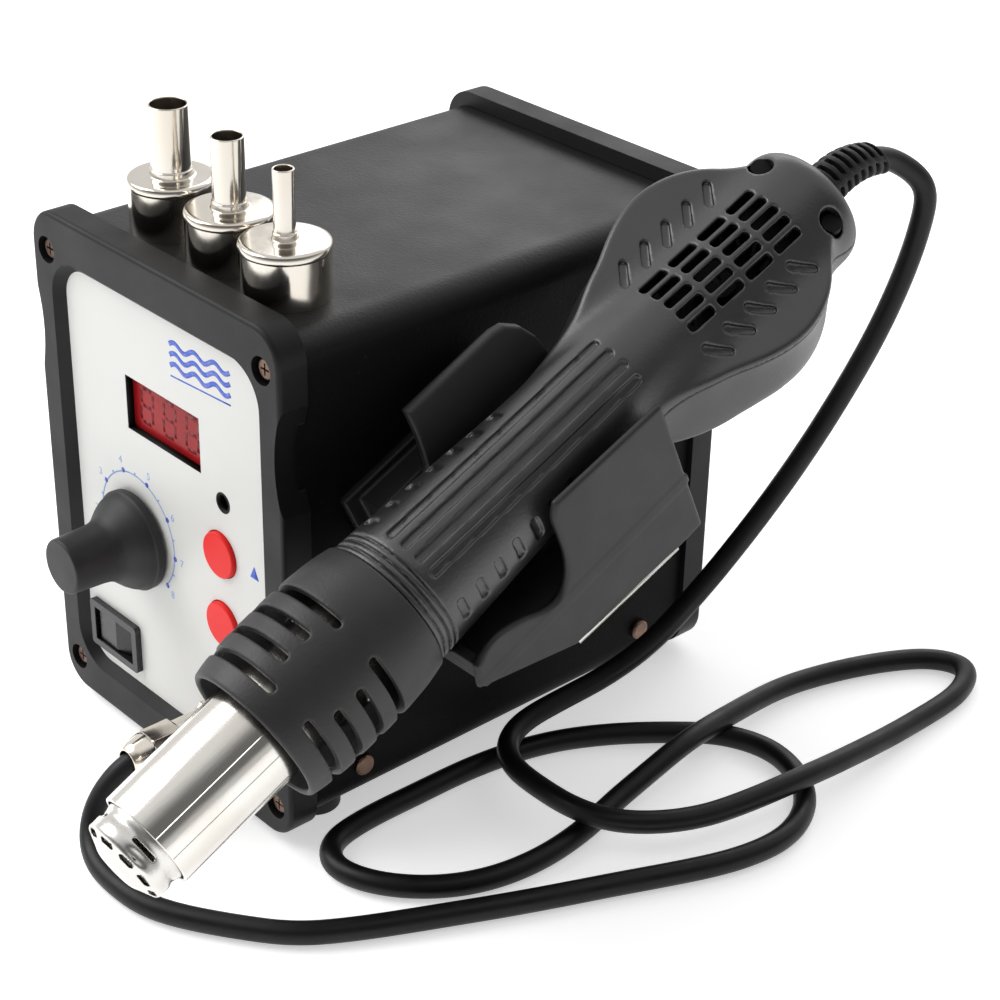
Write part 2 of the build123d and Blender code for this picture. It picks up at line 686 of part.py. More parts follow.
def gun_holder():
    """A moulded cradle: wall plate, floor, front saddle, inner prong and outer cheek."""
    wall_x = SLEEVE_HALF - GUN_AT[0] + 0.05
    half, wall = CRADLE_HALF, CRADLE_WALL
    floor_high = -half + wall
    start, end = CRADLE_START + 2, CRADLE_END
    cheek = holder_cheek()
    floor_corners = [(start, -half), (end, -half), (end, floor_high), (start, floor_high)]
    floor = holder_outline(floor_corners, -half, half)
    lip_end, lip_low, lip_high = start + 2.4, -half + 0.1, -13.6
    lip_corners = [(start, lip_low), (lip_end, lip_low), (lip_end, lip_high), (start, lip_high)]
    lip = holder_outline(lip_corners, -half, half)
    lip -= HOLDER * rod((0, 0, 0), (1, 0, 0), 17.6, 200)
    prong = holder_outline(
        [(start + 15, -half), (end, -half), (end, 2), (142.5, 16.2), (109, 16.2), (106, 3), (96, -6)],
        -half - 3,
        -half + wall,
    )
    arm = holder_outline([(92, -16), (138, -16), (138, 0), (92, 0)], wall_x + 1.5, -half - 2.5)
    plate = holder_outline([(88, -18), (142, -18), (142, 2), (88, 2)], wall_x, wall_x + 2.5)
    holder = cheek + floor + lip + prong + arm + plate
    for s, drop in HOLDER_SCREWS:
        at = holder_screw_point(s, drop)
        holder -= rod((SLEEVE_HALF - 1, at.Y, at.Z), (1, 0, 0), 1.6, 40)
        holder -= rod((SLEEVE_HALF + 5, at.Y, at.Z), (1, 0, 0), 3.2, 40)
    magnet = holder_screw_point(*MAGNET_AT)
    holder -= Plane(origin=magnet, x_dir=(1, 0, 0), z_dir=UP) * Cylinder(5.1, 1.4)
    return holder


def holder_cheek():
    """The outer cheek, with the finger cut-out swept in an S at its front."""
    half = CRADLE_HALF
    origin = HOLDER.from_local_coords(Vector(0, -(half - CRADLE_WALL), 0))
    plane = Plane(origin=origin, x_dir=ALONG, z_dir=(1, 0, 0))
    front, top = (77.4, -13.6), (111.5, 7.0)
    sweep_edge = Spline([front, (84, -10.9), (94, -14.1), (102.4, -17.2), (108.2, -9.5), top])
    rest = Polyline(
        [top, (146.3, 5.5), (145.6, -34.9), (139.7, -35.1), (101.9, -33.1), (75.2, -19.4), front]
    )
    face = plane * make_face(sweep_edge + rest)
    return extrude(face, amount=CRADLE_WALL, dir=(1, 0, 0))


def holder_screws():
    screws = []
    for s, drop in HOLDER_SCREWS:
        at = holder_screw_point(s, drop)
        shank = rod((SLEEVE_HALF - 5, at.Y, at.Z), (1, 0, 0), 1.45, 10.1)
        screws.append(shank + rod((SLEEVE_HALF + 5.05, at.Y, at.Z), (1, 0, 0), 2.8, 1.6))
    return pieces(screws)


def holder_magnet():
    """The magnet that tells the gun's reed switch it is parked."""
    at = holder_screw_point(*MAGNET_AT)
    return Plane(origin=at, x_dir=(1, 0, 0), z_dir=UP) * Cylinder(5.0, 1.3)


# ---- nozzles ----
def nozzle(index):
    """A pressed cup with a rolled shoulder, a short collar and an outlet tube."""
    tube = NOZZLE_TUBE_RADIUS[index]
    top = CUP_HEIGHT + NOZZLE_TUBE_LENGTH[index]
    t = NOZZLE_SHEET
    outline = [
        (0, CUP_RADIUS - 0.3),
        (CUP_HEIGHT - 2.4, CUP_RADIUS - 0.3),
        (CUP_HEIGHT - 1.5, CUP_RADIUS),
        (CUP_HEIGHT - 0.5, CUP_RADIUS),
        (CUP_HEIGHT, CUP_RADIUS - 0.6),
        (CUP_HEIGHT, tube + 0.7),
        (CUP_HEIGHT + 2.2, tube + 0.5),
        (CUP_HEIGHT + 2.4, tube),
        (top, tube),
        (top, tube - t),
        (CUP_HEIGHT - t, tube - t),
        (CUP_HEIGHT - t, CUP_RADIUS - 1.0 - t),
        (CUP_HEIGHT - 2.4, CUP_RADIUS - 0.3 - t),
        (0, CUP_RADIUS - 0.3 - t),
    ]
    x, y = NOZZLE_AT[index]
    at = (x, y, SLEEVE_TOP + 0.02)
    return spun(outline, Plane(origin=at, x_dir=(0, 0, 1), z_dir=(0, 1, 0)))


# ---- hot-air gun, in the gun's own frame: X along, Y across, Z out of its top ----
def gun_spun(points):
    return spun(points, Plane.XY)


def head_planform(shrink):
    """The head seen from the top: a disc that runs down to the neck on tangents."""
    contact = HEAD_AT - HEAD_RADIUS * NECK_SLOPE / sqrt(1 + NECK_SLOPE**2)
    height = HEAD_RADIUS / sqrt(1 + NECK_SLOPE**2)
    neck = make_face(
        Polyline(
            [
                (NECK_START, -NECK_HALF + shrink),
                (contact, -height + shrink),
                (contact, height - shrink),
                (NECK_START, NECK_HALF - shrink),
            ],
            close=True,
        )
    )
    return neck + Pos(HEAD_AT, 0, 0) * Circle(HEAD_RADIUS - shrink)


def head_block(shrink):
    """The drum of the head with a crowned top and bottom."""
    low = HEAD_MID - HEAD_HALF - 6
    high = HEAD_MID + HEAD_HALF + CROWN_RISE
    prism = Pos(0, 0, low) * extrude(head_planform(shrink), amount=high - low)
    crown_radius = (HEAD_RADIUS**2 + CROWN_RISE**2) / (2 * CROWN_RISE)
    top_centre = HEAD_MID + HEAD_HALF + CROWN_RISE - crown_radius
    prism &= Pos(HEAD_AT, 0, top_centre) * Sphere(crown_radius - shrink)
    low_centre = HEAD_MID - HEAD_HALF - 5 + crown_radius
    return prism & Pos(HEAD_AT, 0, low_centre) * Sphere(crown_radius - shrink)


def grip_solid(shrink):
    """The round grip, from the ring grooves to inside the head."""
    outline = [
        (SHELL_START, 0),
        (SHELL_START, 17.2 - shrink),
        (80.5, 17.0 - shrink),
        (82.0, 16.4 - shrink),
        (95.0, 16.0 - shrink),
        (108.0, 15.2 - shrink),
        (120.0, 14.6 - shrink),
        (NECK_START, 14.1 - shrink),
        (178.0, 13.0 - shrink),
        (178.0, 0),
    ]
    return gun_spun(outline)


def tail_solid(shrink):
    """The round collar behind the head, closed by a shallow dome."""
    outline = [
        (200.0, 0),
        (200.0, TAIL_RADIUS - shrink),
        (218.5, TAIL_RADIUS - shrink),
        (221.5, TAIL_RADIUS - 1.4 - shrink),
        (224.0, TAIL_RADIUS - 5.0 - shrink),
        (TAIL_END - shrink, TAIL_RADIUS - 10.5),
        (TAIL_END - shrink, 0),
    ]
    return Pos(0, 0, HEAD_MID) * gun_spun(outline)


def shell_envelope(shrink):
    return grip_solid(shrink) + head_block(shrink) + tail_solid(shrink)


def gun_shell():
    """The hollow handle before it is split into two halves."""
    shell = shell_envelope(0) - shell_envelope(SHELL_WALL)
    shell -= rod((SHELL_START - 1, 0, 0), (1, 0, 0), BARREL_RADIUS + 2.4, 6)
    shell -= rod((TAIL_END - 6, 0, HEAD_MID), (1, 0, 0), 4.4, 10)
    for ring in range(3):
        s = SHELL_START + 1.6 + ring * 1.9
        groove = rod((s, 0, 0), (1, 0, 0), 19, 0.6) - rod((s - 1, 0, 0), (1, 0, 0), 16.5, 3)
        shell -= groove
    for row in (1, -1):
        shell -= rod((213.5, row * 10.9, -40), (0, 0, 1), 1.5, 80)
        shell -= rod((213.5, row * 10.9, 4.2), (0, 0, 1), 2.9, 30)
    return shell


def vent_slots(side):
    """The grid of intake slots over the blower; side is 1 on top and -1 below."""
    slots = []
    for column in range(4):
        for row in range(5):
            at = Pos(INTAKE_START + column * 9.8, (row - 2) * 3.15, side * 20)
            outline = SlotOverall(8.2, 2.1)
            slots.append(at * extrude(outline, amount=16, both=True))
    return slots


def grip_groove(row):
    """One of the four long grooves on top of the grip."""
    y = (row - 1.5) * 4.5
    length = 68.0
    middle = 118.0 + row * 0.6
    return Pos(middle, y, 20) * extrude(SlotOverall(length, 1.3), amount=GROOVE_DEPTHS[row] - 20)


def half_space(side):
    """Everything above or below the handle's parting plane."""
    if side > 0:
        return block(0, 300, -60, 60, SPLIT_N, 60)
    return block(0, 300, -60, 60, -60, SPLIT_N)


def upper_shell(shell):
    half = shell & half_space(1)
    for slot in vent_slots(1):
        half -= slot & block(0, 300, -60, 60, 4, 60)
    for row in range(4):
        half -= grip_groove(row) & block(0, 300, -60, 60, 8, 60)
    return GUN * half


def lower_shell(shell):
    half = shell & half_space(-1)
    for slot in vent_slots(-1):
        half -= slot & block(0, 300, -60, 60, -60, -14)
    return GUN * half


def shell_screws():
    """The two long screws that close the handle at its tail."""
    screws = []
    for row in (1, -1):
        shank = rod((213.5, row * 10.9, -14), (0, 0, 1), 1.35, 18.4)
        screws.append(shank + rod((213.5, row * 10.9, 4.25), (0, 0, 1), 2.5, 1.8))
    return GUN * pieces(screws)


def heat_guard():
    """The slotted guard round the hot barrel, in three banks of four slots."""
    outline = [
        (GUARD_START, 16.6),
        (GUARD_START, 17.6),
        (GUARD_START + 1.6, 18.5),
        (52.0, 19.2),
        (60.0, 19.3),
        (69.0, 19.0),
        (GUARD_END - 1.0, 18.2),
        (GUARD_END, 17.4),
        (GUARD_END, BARREL_RADIUS + 0.1),
        (GUARD_END - 3.0, BARREL_RADIUS + 0.1),
        (GUARD_END - 4.0, 16.4),
        (60.0, 17.4),
        (36.0, 17.0),
    ]
    guard = gun_spun(outline)
    for bank in range(3):
        for row in range(4):
            half_angle = 44 if row in (0, 3) else 35
            guard -= guard_slot(GUARD_SLOT_START + row * 6.5, bank * 120 + 42, half_angle)
    return GUN * guard


def guard_slot(s, centre, half_angle):
    """A slot that runs round the guard through an angle, with round ends."""
    ring = rod((s - 1.5, 0, 0), (1, 0, 0), 24, 3.0) - rod((s - 2, 0, 0), (1, 0, 0), 15, 4)
    far = 40.0
    reach = radians(half_angle)
    wedge = Plane(origin=(s - 2, 0, 0), x_dir=(0, 0, 1), z_dir=(1, 0, 0))
    x, y = far * cos(reach), far * sin(reach)
    corners = [(0, 0), (x, -y), (2 * far, 0), (x, y)]
    sector = extrude(wedge * make_face(Polyline(corners, close=True)), amount=4, dir=(1, 0, 0))
    return Rot(-centre, 0, 0) * (ring & sector)


def barrel_tube():
    tube = rod((0, 0, 0), (1, 0, 0), BARREL_RADIUS, BARREL_END)
    return GUN * (tube - rod((-1, 0, 0), (1, 0, 0), BARREL_RADIUS - BARREL_SHEET, BARREL_END + 2))


def barrel_tip():
    """The waisted nose that nozzles push onto, with its slotted baffle and a sleeve into the tube."""
    sleeve = BARREL_RADIUS - BARREL_SHEET - 0.05
    outline = [
        (2.2 - TIP_REACH, 0),
        (2.2 - TIP_REACH, 8.4),
        (0.5 - TIP_REACH, 9.4),
        (-TIP_REACH, TIP_RADIUS - 0.4),
        (0.7 - TIP_REACH, TIP_RADIUS),
        (1.8 - TIP_REACH, TIP_RADIUS - 0.5),
        (-2.6, TIP_RADIUS),
        (-0.8, sleeve),
        (8.0, sleeve),
        (8.0, sleeve - TIP_SHEET),
        (-0.4, sleeve - TIP_SHEET),
        (-2.6, TIP_RADIUS - TIP_SHEET),
        (3.0 - TIP_REACH, TIP_RADIUS - TIP_SHEET - 0.4),
        (3.0 - TIP_REACH, 0),
    ]
    tip = gun_spun(outline)
    tip += rod((0.8 - TIP_REACH, 0, 0), (1, 0, 0), 3.2, 1.6)
    for arm in range(4):
        slot = Pos(2.6 - TIP_REACH, 5.9, 0) * Box(4, 2.4, 5.6)
        tip -= Rot(arm * 90 + 20, 0, 0) * slot
    return GUN * tip


def mica_sleeve():
    """The insulating sleeve between the heater and the tube."""
    sleeve = rod((24, 0, 0), (1, 0, 0), BARREL_RADIUS - 1.0, 72)
    return GUN * (sleeve - rod((23, 0, 0), (1, 0, 0), BARREL_RADIUS - 1.5, 80))


def heater_core():
    """The cross-section ceramic that carries the heating coil."""
    core = rod((26, 0, 0), (1, 0, 0), CERAMIC_RADIUS, 66)
    for arm in range(6):
        core -= Rot(arm * 60 + 30, 0, 0) * (Pos(59, 7.6, 0) * Box(70, 7.0, 3.4))
    core += rod((92, 0, 0), (1, 0, 0), 10.4, 4)
    return GUN * (core - rod((20, 0, 0), (1, 0, 0), 1.6, 90))


def heater_coil():
    """Resistance wire wound along the ceramic as one helix."""
    turns = Helix(pitch=5.2, height=57.2, radius=CERAMIC_RADIUS + 0.45)
    start = Plane(origin=turns @ 0, z_dir=turns % 0)
    wire = sweep(start * Circle(0.35), path=turns, is_frenet=True)
    return GUN * Pos(31, 0, 0) * Rot(0, 90, 0) * wire


def thermocouple():
    """The temperature probe down the middle of the heater."""
    return GUN * (rod((22, 0, 0), (1, 0, 0), 1.2, 80) + Pos(22, 0, 0) * Sphere(1.4))


def blower_housing():
    """The fan's round casing with its outlet towards the barrel."""
    low, high = BLOWER_LOW, BLOWER_HIGH
    drum = rod((HEAD_AT, 0, low), (0, 0, 1), 23.4, high - low)
    drum += block(148, HEAD_AT, -OUTLET_HALF, OUTLET_HALF, low + 4.5, high)
    drum -= rod((HEAD_AT, 0, low + 1.4), (0, 0, 1), 22.0, high - low - 2.8)
    drum -= block(140, HEAD_AT - 8, 1.4 - OUTLET_HALF, OUTLET_HALF - 1.4, low + 5.9, high - 1.4)
    drum -= rod((HEAD_AT, 0, high - 3), (0, 0, 1), 15.0, 5)
    return GUN * (drum - rod((HEAD_AT, 0, low - 1), (0, 0, 1), 4.0, 4))


def blower_motor():
    low = BLOWER_LOW + 1.5
    motor = rod((HEAD_AT, 0, low), (0, 0, 1), 9.0, 4.8)
    motor = fillet(motor.faces().sort_by(Axis.Z)[-1].edges(), 0.8)
    return GUN * (motor + rod((HEAD_AT, 0, low + 4), (0, 0, 1), 1.0, 8.0))


def impeller():
    """A radial fan wheel: hub, back plate and curved-in blades."""
    low = BLOWER_LOW + 6.8
    plate = rod((HEAD_AT, 0, low), (0, 0, 1), 19.5, 1.2)
    wheel = plate + rod((HEAD_AT, 0, low), (0, 0, 1), 5.0, 7.5)
    blade = Pos(HEAD_AT + 14.5, 0, low + 4.0) * Rot(0, 0, 28) * Box(9.0, 0.9, 7.0)
    for turn in range(16):
        spin = Pos(HEAD_AT, 0, 0) * Rot(0, 0, turn * 22.5) * Pos(-HEAD_AT, 0, 0)
        wheel += spin * blade
    return GUN * (wheel - rod((HEAD_AT, 0, low - 1), (0, 0, 1), 1.06, 12))


def handle_board():
    """The terminal board between the heater and the blower."""
    return GUN * block(104, 138, -8, 8, -8.6, -7.2)


def reed_switch():
    return GUN * rod((106, 0, -10.2), (1, 0, 0), 1.3, 16)


def strain_relief():
    """A ribbed bend protector: a tapered core ringed by collars."""
    start = TAIL_END + 0.05
    outline = [(start, 0), (start, 4.4), (start + RELIEF_LENGTH, 3.8), (start + RELIEF_LENGTH, 0)]
    core = gun_spun(outline)
    for ring in range(7):
        s = start + 0.6 + ring * 2.5
        core += rod((s, 0, 0), (1, 0, 0), 5.4 - ring * 0.12, 1.3)
    for turn in range(4):
        rib = block(start, start + RELIEF_LENGTH, -0.7, 0.7, 0, 4.6)
        core += Rot(turn * 90, 0, 0) * rib
    core += rod((start - 5, 0, 0), (1, 0, 0), 4.2, 5.1)
    core += rod((start - 5, 0, 0), (1, 0, 0), 6.2, 2.4)
    relief = core - rod((start - 6, 0, 0), (1, 0, 0), CABLE_RADIUS + 0.15, RELIEF_LENGTH + 10)
    return GUN * (Pos(0, 0, HEAD_MID) * relief)


# ---- the cable between the station and the gun ----
def cable_path():
    """Points of the cable's loops on the bench; the later strand lies over the earlier one."""
    x, z = GLAND_AT
    floor, over = CABLE_FLOOR_Z, CABLE_OVER_Z
    end = Vector(GUN_AT) + ALONG * (TAIL_END + RELIEF_LENGTH) + TOP * HEAD_MID
    out = end + ALONG * 0.4
    return [
        (x, PANEL_FACE - GLAND_LENGTH + 4, z),
        (x, PANEL_FACE - GLAND_LENGTH - 6, z),
        (x - 1, -105, 14),
        (x + 1, -110, 7),
        (27, -113, floor),
        (45, -112, floor),
        (64, -102, floor),
        (78, -90, floor),
        (97, -55, floor),
        (111, -24, floor),
        (125.5, 10, floor),
        (124, 34, floor),
        (101, 49, floor),
        (78, 36, floor),
        (59, 7, floor),
        (53.6, -15, floor),
        (53.6, -60, floor),
        (62, -70, floor),
        (76, -66, floor),
        (90, -48, floor),
        (93, -28, floor),
        (90.5, -4, floor + 1),
        (89, 12, 7),
        (87, 34, over),
        (83.5, 57, 7),
        (82, 78, floor + 1),
        (90, 103, floor),
        (100, 118, floor),
        (110, 119, floor),
        (115.6, 92, floor + 1),
        (118, 63, 7),
        (118, 38, over),
        (114, 16, 8.8),
        (106, -4, 9.2),
        (92, -15, 10.0),
        (77, -16.4, over),
        (62, -13.4, over + 0.4),
        (56.8, -3, 11),
        (58.4, 9, 13.8),
        (62, 23, 17.6),
        (65.5, 35, 24.6),
        (69, 50, 37.4),
        (72.4, 64, 52.7),
        (76, 77, 70),
        (79, 88, 87),
        (81, 96, 101),
        (82.6, 102.5, 116),
        (83.4, 106.4, 131),
        (82.6, 106.4, 143),
        (81, 102.8, 152.2),
        (out.X + 0.2, out.Y + 7.2, out.Z + 3.3),
        (out.X, out.Y, out.Z),
    ]


def rounded_path(points):
    """Straight runs between points, with each corner rounded by a tangent arc."""
    corners = [Vector(*p) for p in points]
    edges = []
    at = corners[0]
    for before, corner, after in zip(corners, corners[1:], corners[2:]):
        inward = (corner - before).normalized()
        outward = (after - corner).normalized()
        reach = 0.48 * min((corner - before).length, (after - corner).length)
        half_turn = radians(inward.get_angle(outward)) / 2
        radius = reach / tan(half_turn)
        start = corner - inward * reach
        end = corner + outward * reach
        middle = corner + (outward - inward).normalized() * (radius / cos(half_turn) - radius)
        edges.append(Line(at, start))
        edges.append(ThreePointArc(start, middle, end))
        at = end
    edges.append(Line(at, corners[-1]))
    return Wire(edges)


def handle_cable():
    path = rounded_path(cable_path())
    start = Plane(origin=path @ 0, z_dir=path % 0)
    return sweep(start * Circle(CABLE_RADIUS), path=path)


def build():
    front = bezel()
    shell = gun_shell()
    nodes = {
        "case_shell": case_shell(),
        "front_bezel": front,
        "rear_bezel": Rot(0, 0, 180) * front,
        "front_panel": front_panel(),
        "rear_panel": rear_panel(),
        "bezel_screws": bezel_screws(),
        "side_screws": side_screws(),
        "chassis_tray": chassis_tray(),
        "rubber_feet": pieces(rubber_foot(x, y) for x, y in foot_places()),
        "foot_screws": pieces(foot_screw(x, y) for x, y in foot_places()),
        "display_window": display_window(),
        "display_module": display_module(),
        "control_board": control_board(),
        "board_posts": pieces(control_board_posts() + power_board_posts()),
        "potentiometer": potentiometer(),
        "potentiometer_nut": potentiometer_nut(),
        "potentiometer_shaft": potentiometer_shaft(),
        "airflow_knob": airflow_knob(),
        "temperature_up_button": temperature_button(BUTTON_UP_Z),
        "temperature_down_button": temperature_button(BUTTON_DOWN_Z),
        "tact_switches": pieces(tact_switch(z) for z in (BUTTON_UP_Z, BUTTON_DOWN_Z)),
        "cal_trimmer": cal_trimmer(),
        "power_switch_frame": power_switch_frame(),
        "power_rocker": power_rocker(),
        "cable_gland": cable_gland(),
        "gland_nut": gland_nut(),
        "transformer_core": transformer_core(),
        "transformer_clamp": transformer_clamp(),
        "transformer_windings": transformer_windings(),
        "tray_screws": pieces(transformer_screws() + power_board_screws()),
        "power_board": power_board(),
        "heat_sink": heat_sink(),
        "triac": triac(),
        "capacitors": capacitors(),
        "mains_inlet": mains_inlet(),
        "fuse_drawer": fuse_drawer(),
        "mains_fuse": mains_fuse(),
        "gun_holder": gun_holder(),
        "holder_screws": holder_screws(),
        "holder_magnet": holder_magnet(),
        "nozzle_large": nozzle(0),
        "nozzle_medium": nozzle(1),
        "nozzle_small": nozzle(2),
        "upper_shell": upper_shell(shell),
        "lower_shell": lower_shell(shell),
        "shell_screws": shell_screws(),
        "heat_guard": heat_guard(),
        "barrel_tube": barrel_tube(),
        "barrel_tip": barrel_tip(),
        "mica_sleeve": mica_sleeve(),
        "heater_core": heater_core(),
        "heater_coil": heater_coil(),
        "thermocouple": thermocouple(),
        "blower_housing": blower_housing(),
        "blower_motor": blower_motor(),
        "impeller": impeller(),
        "handle_board": handle_board(),
        "reed_switch": reed_switch(),
        "strain_relief": strain_relief(),
        "handle_cable": handle_cable(),
    }
    return nodes


for node_name, node_shape in build().items():
    save(node_name, node_shape)
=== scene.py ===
import json
import math

import bpy
import numpy as np
from mathutils import Matrix, Vector


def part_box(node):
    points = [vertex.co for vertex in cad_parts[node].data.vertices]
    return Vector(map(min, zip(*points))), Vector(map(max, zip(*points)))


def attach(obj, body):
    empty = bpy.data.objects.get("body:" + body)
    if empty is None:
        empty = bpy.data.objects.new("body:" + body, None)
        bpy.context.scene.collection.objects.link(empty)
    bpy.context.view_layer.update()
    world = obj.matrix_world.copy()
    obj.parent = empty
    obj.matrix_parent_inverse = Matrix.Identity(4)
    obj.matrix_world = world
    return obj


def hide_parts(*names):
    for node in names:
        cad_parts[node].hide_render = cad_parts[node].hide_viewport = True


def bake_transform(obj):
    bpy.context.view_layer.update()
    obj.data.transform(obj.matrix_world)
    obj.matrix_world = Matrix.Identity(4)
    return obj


# Looks of the hot-air station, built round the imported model. Shapes are in millimetres until make_mesh.

MM = 0.001

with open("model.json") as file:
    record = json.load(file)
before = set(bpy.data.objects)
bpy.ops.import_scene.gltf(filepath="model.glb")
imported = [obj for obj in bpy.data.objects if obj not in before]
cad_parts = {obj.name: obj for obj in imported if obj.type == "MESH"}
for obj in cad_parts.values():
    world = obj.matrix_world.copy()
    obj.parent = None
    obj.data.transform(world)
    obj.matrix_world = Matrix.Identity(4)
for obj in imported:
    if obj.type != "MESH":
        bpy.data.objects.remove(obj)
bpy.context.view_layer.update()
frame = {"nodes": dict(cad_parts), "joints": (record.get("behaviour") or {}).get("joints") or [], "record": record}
record = frame["record"]
joints = {j["name"]: j for j in frame["joints"]}
nodes = frame["nodes"]


def unit(v):
    v = np.array(v, float)
    return v / np.linalg.norm(v)


def low_high(node):
    """A CAD node's corners in millimetres."""
    low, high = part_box(node)
    return np.array(low) / MM, np.array(high) / MM


# ---- frames of reference, from the joints ----
UP = unit(joints["gun_lift"]["axis"])
TOP = unit(joints["impeller_spin"]["axis"])
ALONG = np.cross(UP, (1.0, 0.0, 0.0))
FAN_AT = 185.0
GUN_ORIGIN = np.array(joints["impeller_spin"]["pos_m"]) / MM - ALONG * FAN_AT
GUN_AXES = np.array([ALONG, np.cross(TOP, ALONG), TOP])
HOLDER_AXES = np.array([ALONG, (1.0, 0.0, 0.0), UP])
KNOB_AT = np.array(joints["knob_turn"]["pos_m"]) / MM
ROW_AXES = np.eye(3)
ORIGIN = np.zeros(3)


def to_row(points, origin, axes):
    """Points in a local frame, moved to the row's frame."""
    return np.asarray(points) @ np.asarray(axes) + np.asarray(origin)


# ---- mesh helpers ----
def make_mesh(name, points, faces, material, body, replaced=(), smooth=True):
    """An object from points in millimetres and faces of any one size, riding on a CAD body."""
    mesh = bpy.data.meshes.new(name)
    points = np.asarray(points, np.float32) * MM
    faces = np.asarray(faces, np.int32)
    mesh.vertices.add(len(points))
    mesh.vertices.foreach_set("co", points.ravel())
    mesh.loops.add(faces.size)
    mesh.loops.foreach_set("vertex_index", faces.ravel())
    mesh.polygons.add(len(faces))
    mesh.polygons.foreach_set("loop_start", np.arange(len(faces), dtype=np.int32) * faces.shape[1])
    mesh.update(calc_edges=True)
    mesh.validate()
    if smooth:
        mesh.shade_smooth()
    mesh.materials.append(material)
    thing = bpy.data.objects.new(name, mesh)
    bpy.context.scene.collection.objects.link(thing)
    if body:
        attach(thing, body)
    if replaced:
        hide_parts(*replaced)
    return thing


def smooth_min(a, b, k):
    """The lower of two fields, with the crease between them filled to a radius near k."""
    h = np.clip(0.5 + 0.5 * (b - a) / k, 0, 1)
    return b + (a - b) * h - k * h * (1 - h)


def smooth_max(a, b, k):
    return -smooth_min(-a, -b, k)


def ramp(x, low, high):
    t = np.clip((x - low) / (high - low), 0, 1)
    return t * t * (3 - 2 * t)


def curve(points, spread):
    """A function through (x, y) points with its corners eased over a distance."""
    xs, ys = np.array(points, float).T
    grid = np.arange(xs[0] - 4 * spread, xs[-1] + 4 * spread, spread / 4)
    raw = np.interp(grid, xs, ys)
    kernel = np.exp(-0.5 * (np.arange(-12, 13) / 4.0) ** 2)
    eased = np.convolve(np.pad(raw, 12, mode="edge"), kernel / kernel.sum(), mode="valid")
    return lambda x: np.interp(x, grid, eased)


def capsule(x, y, half_length, radius):
    """Distance to a slot with round ends that lies along x."""
    return np.hypot(np.maximum(np.abs(x) - (half_length - radius), 0), y) - radius


def pill(x, y, half_length, half_width, corner):
    """Distance to a bar with rounded corners that lies along x."""
    a = np.abs(x) - half_length + corner
    b = np.abs(y) - half_width + corner
    return np.hypot(np.maximum(a, 0), np.maximum(b, 0)) + np.minimum(np.maximum(a, b), 0) - corner


def nearest_of(x, start, pitch, count):
    """x measured from the nearest of several evenly spaced places."""
    index = np.clip(np.round((x - start) / pitch), 0, count - 1)
    return x - start - index * pitch


def surface(field, low, high, step):
    """A closed mesh where field(x, y, z) is zero: one point in each cell that the surface crosses,
    pulled onto the surface along the field's slope."""
    low, high = np.array(low, float), np.array(high, float)
    counts = np.ceil((high - low) / step).astype(int) + 1
    axes = [low[i] + step * np.arange(counts[i]) for i in range(3)]
    values = np.empty(counts, np.float32)
    for i, x in enumerate(axes[0]):
        y, z = np.meshgrid(axes[1], axes[2], indexing="ij")
        values[i] = field(np.full_like(y, x), y, z)
    inside = values < 0
    corners = [(i, j, k) for i in (0, 1) for j in (0, 1) for k in (0, 1)]
    total = sum(
        inside[i : counts[0] - 1 + i, j : counts[1] - 1 + j, k : counts[2] - 1 + k].astype(np.int8)
        for i, j, k in corners
    )
    cells = np.argwhere((total > 0) & (total < 8))
    index = np.full(counts - 1, -1, np.int64)
    index[tuple(cells.T)] = np.arange(len(cells))
    points = np.zeros((len(cells), 3))
    hits = np.zeros(len(cells))
    for axis in range(3):
        for corner in corners:
            if corner[axis]:
                continue
            start = cells + corner
            end = start.copy()
            end[:, axis] += 1
            a, b = values[tuple(start.T)], values[tuple(end.T)]
            cross = (a < 0) != (b < 0)
            t = np.where(cross, a / np.where(cross, a - b, 1), 0)
            spot = start.astype(float)
            spot[:, axis] += t
            points += spot * cross[:, None]
            hits += cross
    points = low + points / hits[:, None] * step
    faces = []
    for axis in range(3):
        b, c = [(1, 2), (2, 0), (0, 1)][axis]
        first = np.moveaxis(inside, axis, 0)[:-1]
        second = np.moveaxis(inside, axis, 0)[1:]
        edges = np.argwhere(np.moveaxis(first != second, 0, axis))
        edges = edges[(edges[:, b] > 0) & (edges[:, c] > 0)]
        edges = edges[(edges[:, b] < counts[b] - 1) & (edges[:, c] < counts[c] - 1)]
        ring = []
        for back_b, back_c in ((1, 1), (0, 1), (0, 0), (1, 0)):
            cell = edges.copy()
            cell[:, b] -= back_b
            cell[:, c] -= back_c
            ring.append(index[tuple(cell.T)])
        quads = np.stack(ring, 1)
        outward = inside[tuple(edges.T)]
        quads[~outward] = quads[~outward][:, ::-1]
        faces.append(quads)
    for _ in range(2):
        value = field(*points.T)
        slope = np.empty_like(points)
        for i in range(3):
            nudge = np.zeros(3)
            nudge[i] = 0.05
            slope[:, i] = (field(*(points + nudge).T) - field(*(points - nudge).T)) / 0.1
        move = slope * (value / np.maximum((slope**2).sum(1), 0.2))[:, None]
        points -= np.clip(move, -0.6 * step, 0.6 * step)
    return points, np.concatenate(faces)


def round_profile(points, radius, steps=4):
    """A profile of (distance, radius) points with every inner corner rounded."""
    pts = [np.array(p, float) for p in points]
    out = [pts[0]]
    for before, corner, after in zip(pts, pts[1:], pts[2:]):
        reach = min(radius, 0.45 * np.linalg.norm(before - corner), 0.45 * np.linalg.norm(after - corner))
        start = corner + unit(before - corner) * reach
        end = corner + unit(after - corner) * reach
        for i in range(steps + 1):
            t = i / steps
            out.append((1 - t) ** 2 * start + 2 * t * (1 - t) * corner + t * t * end)
    out.append(pts[-1])
    return np.array(out)


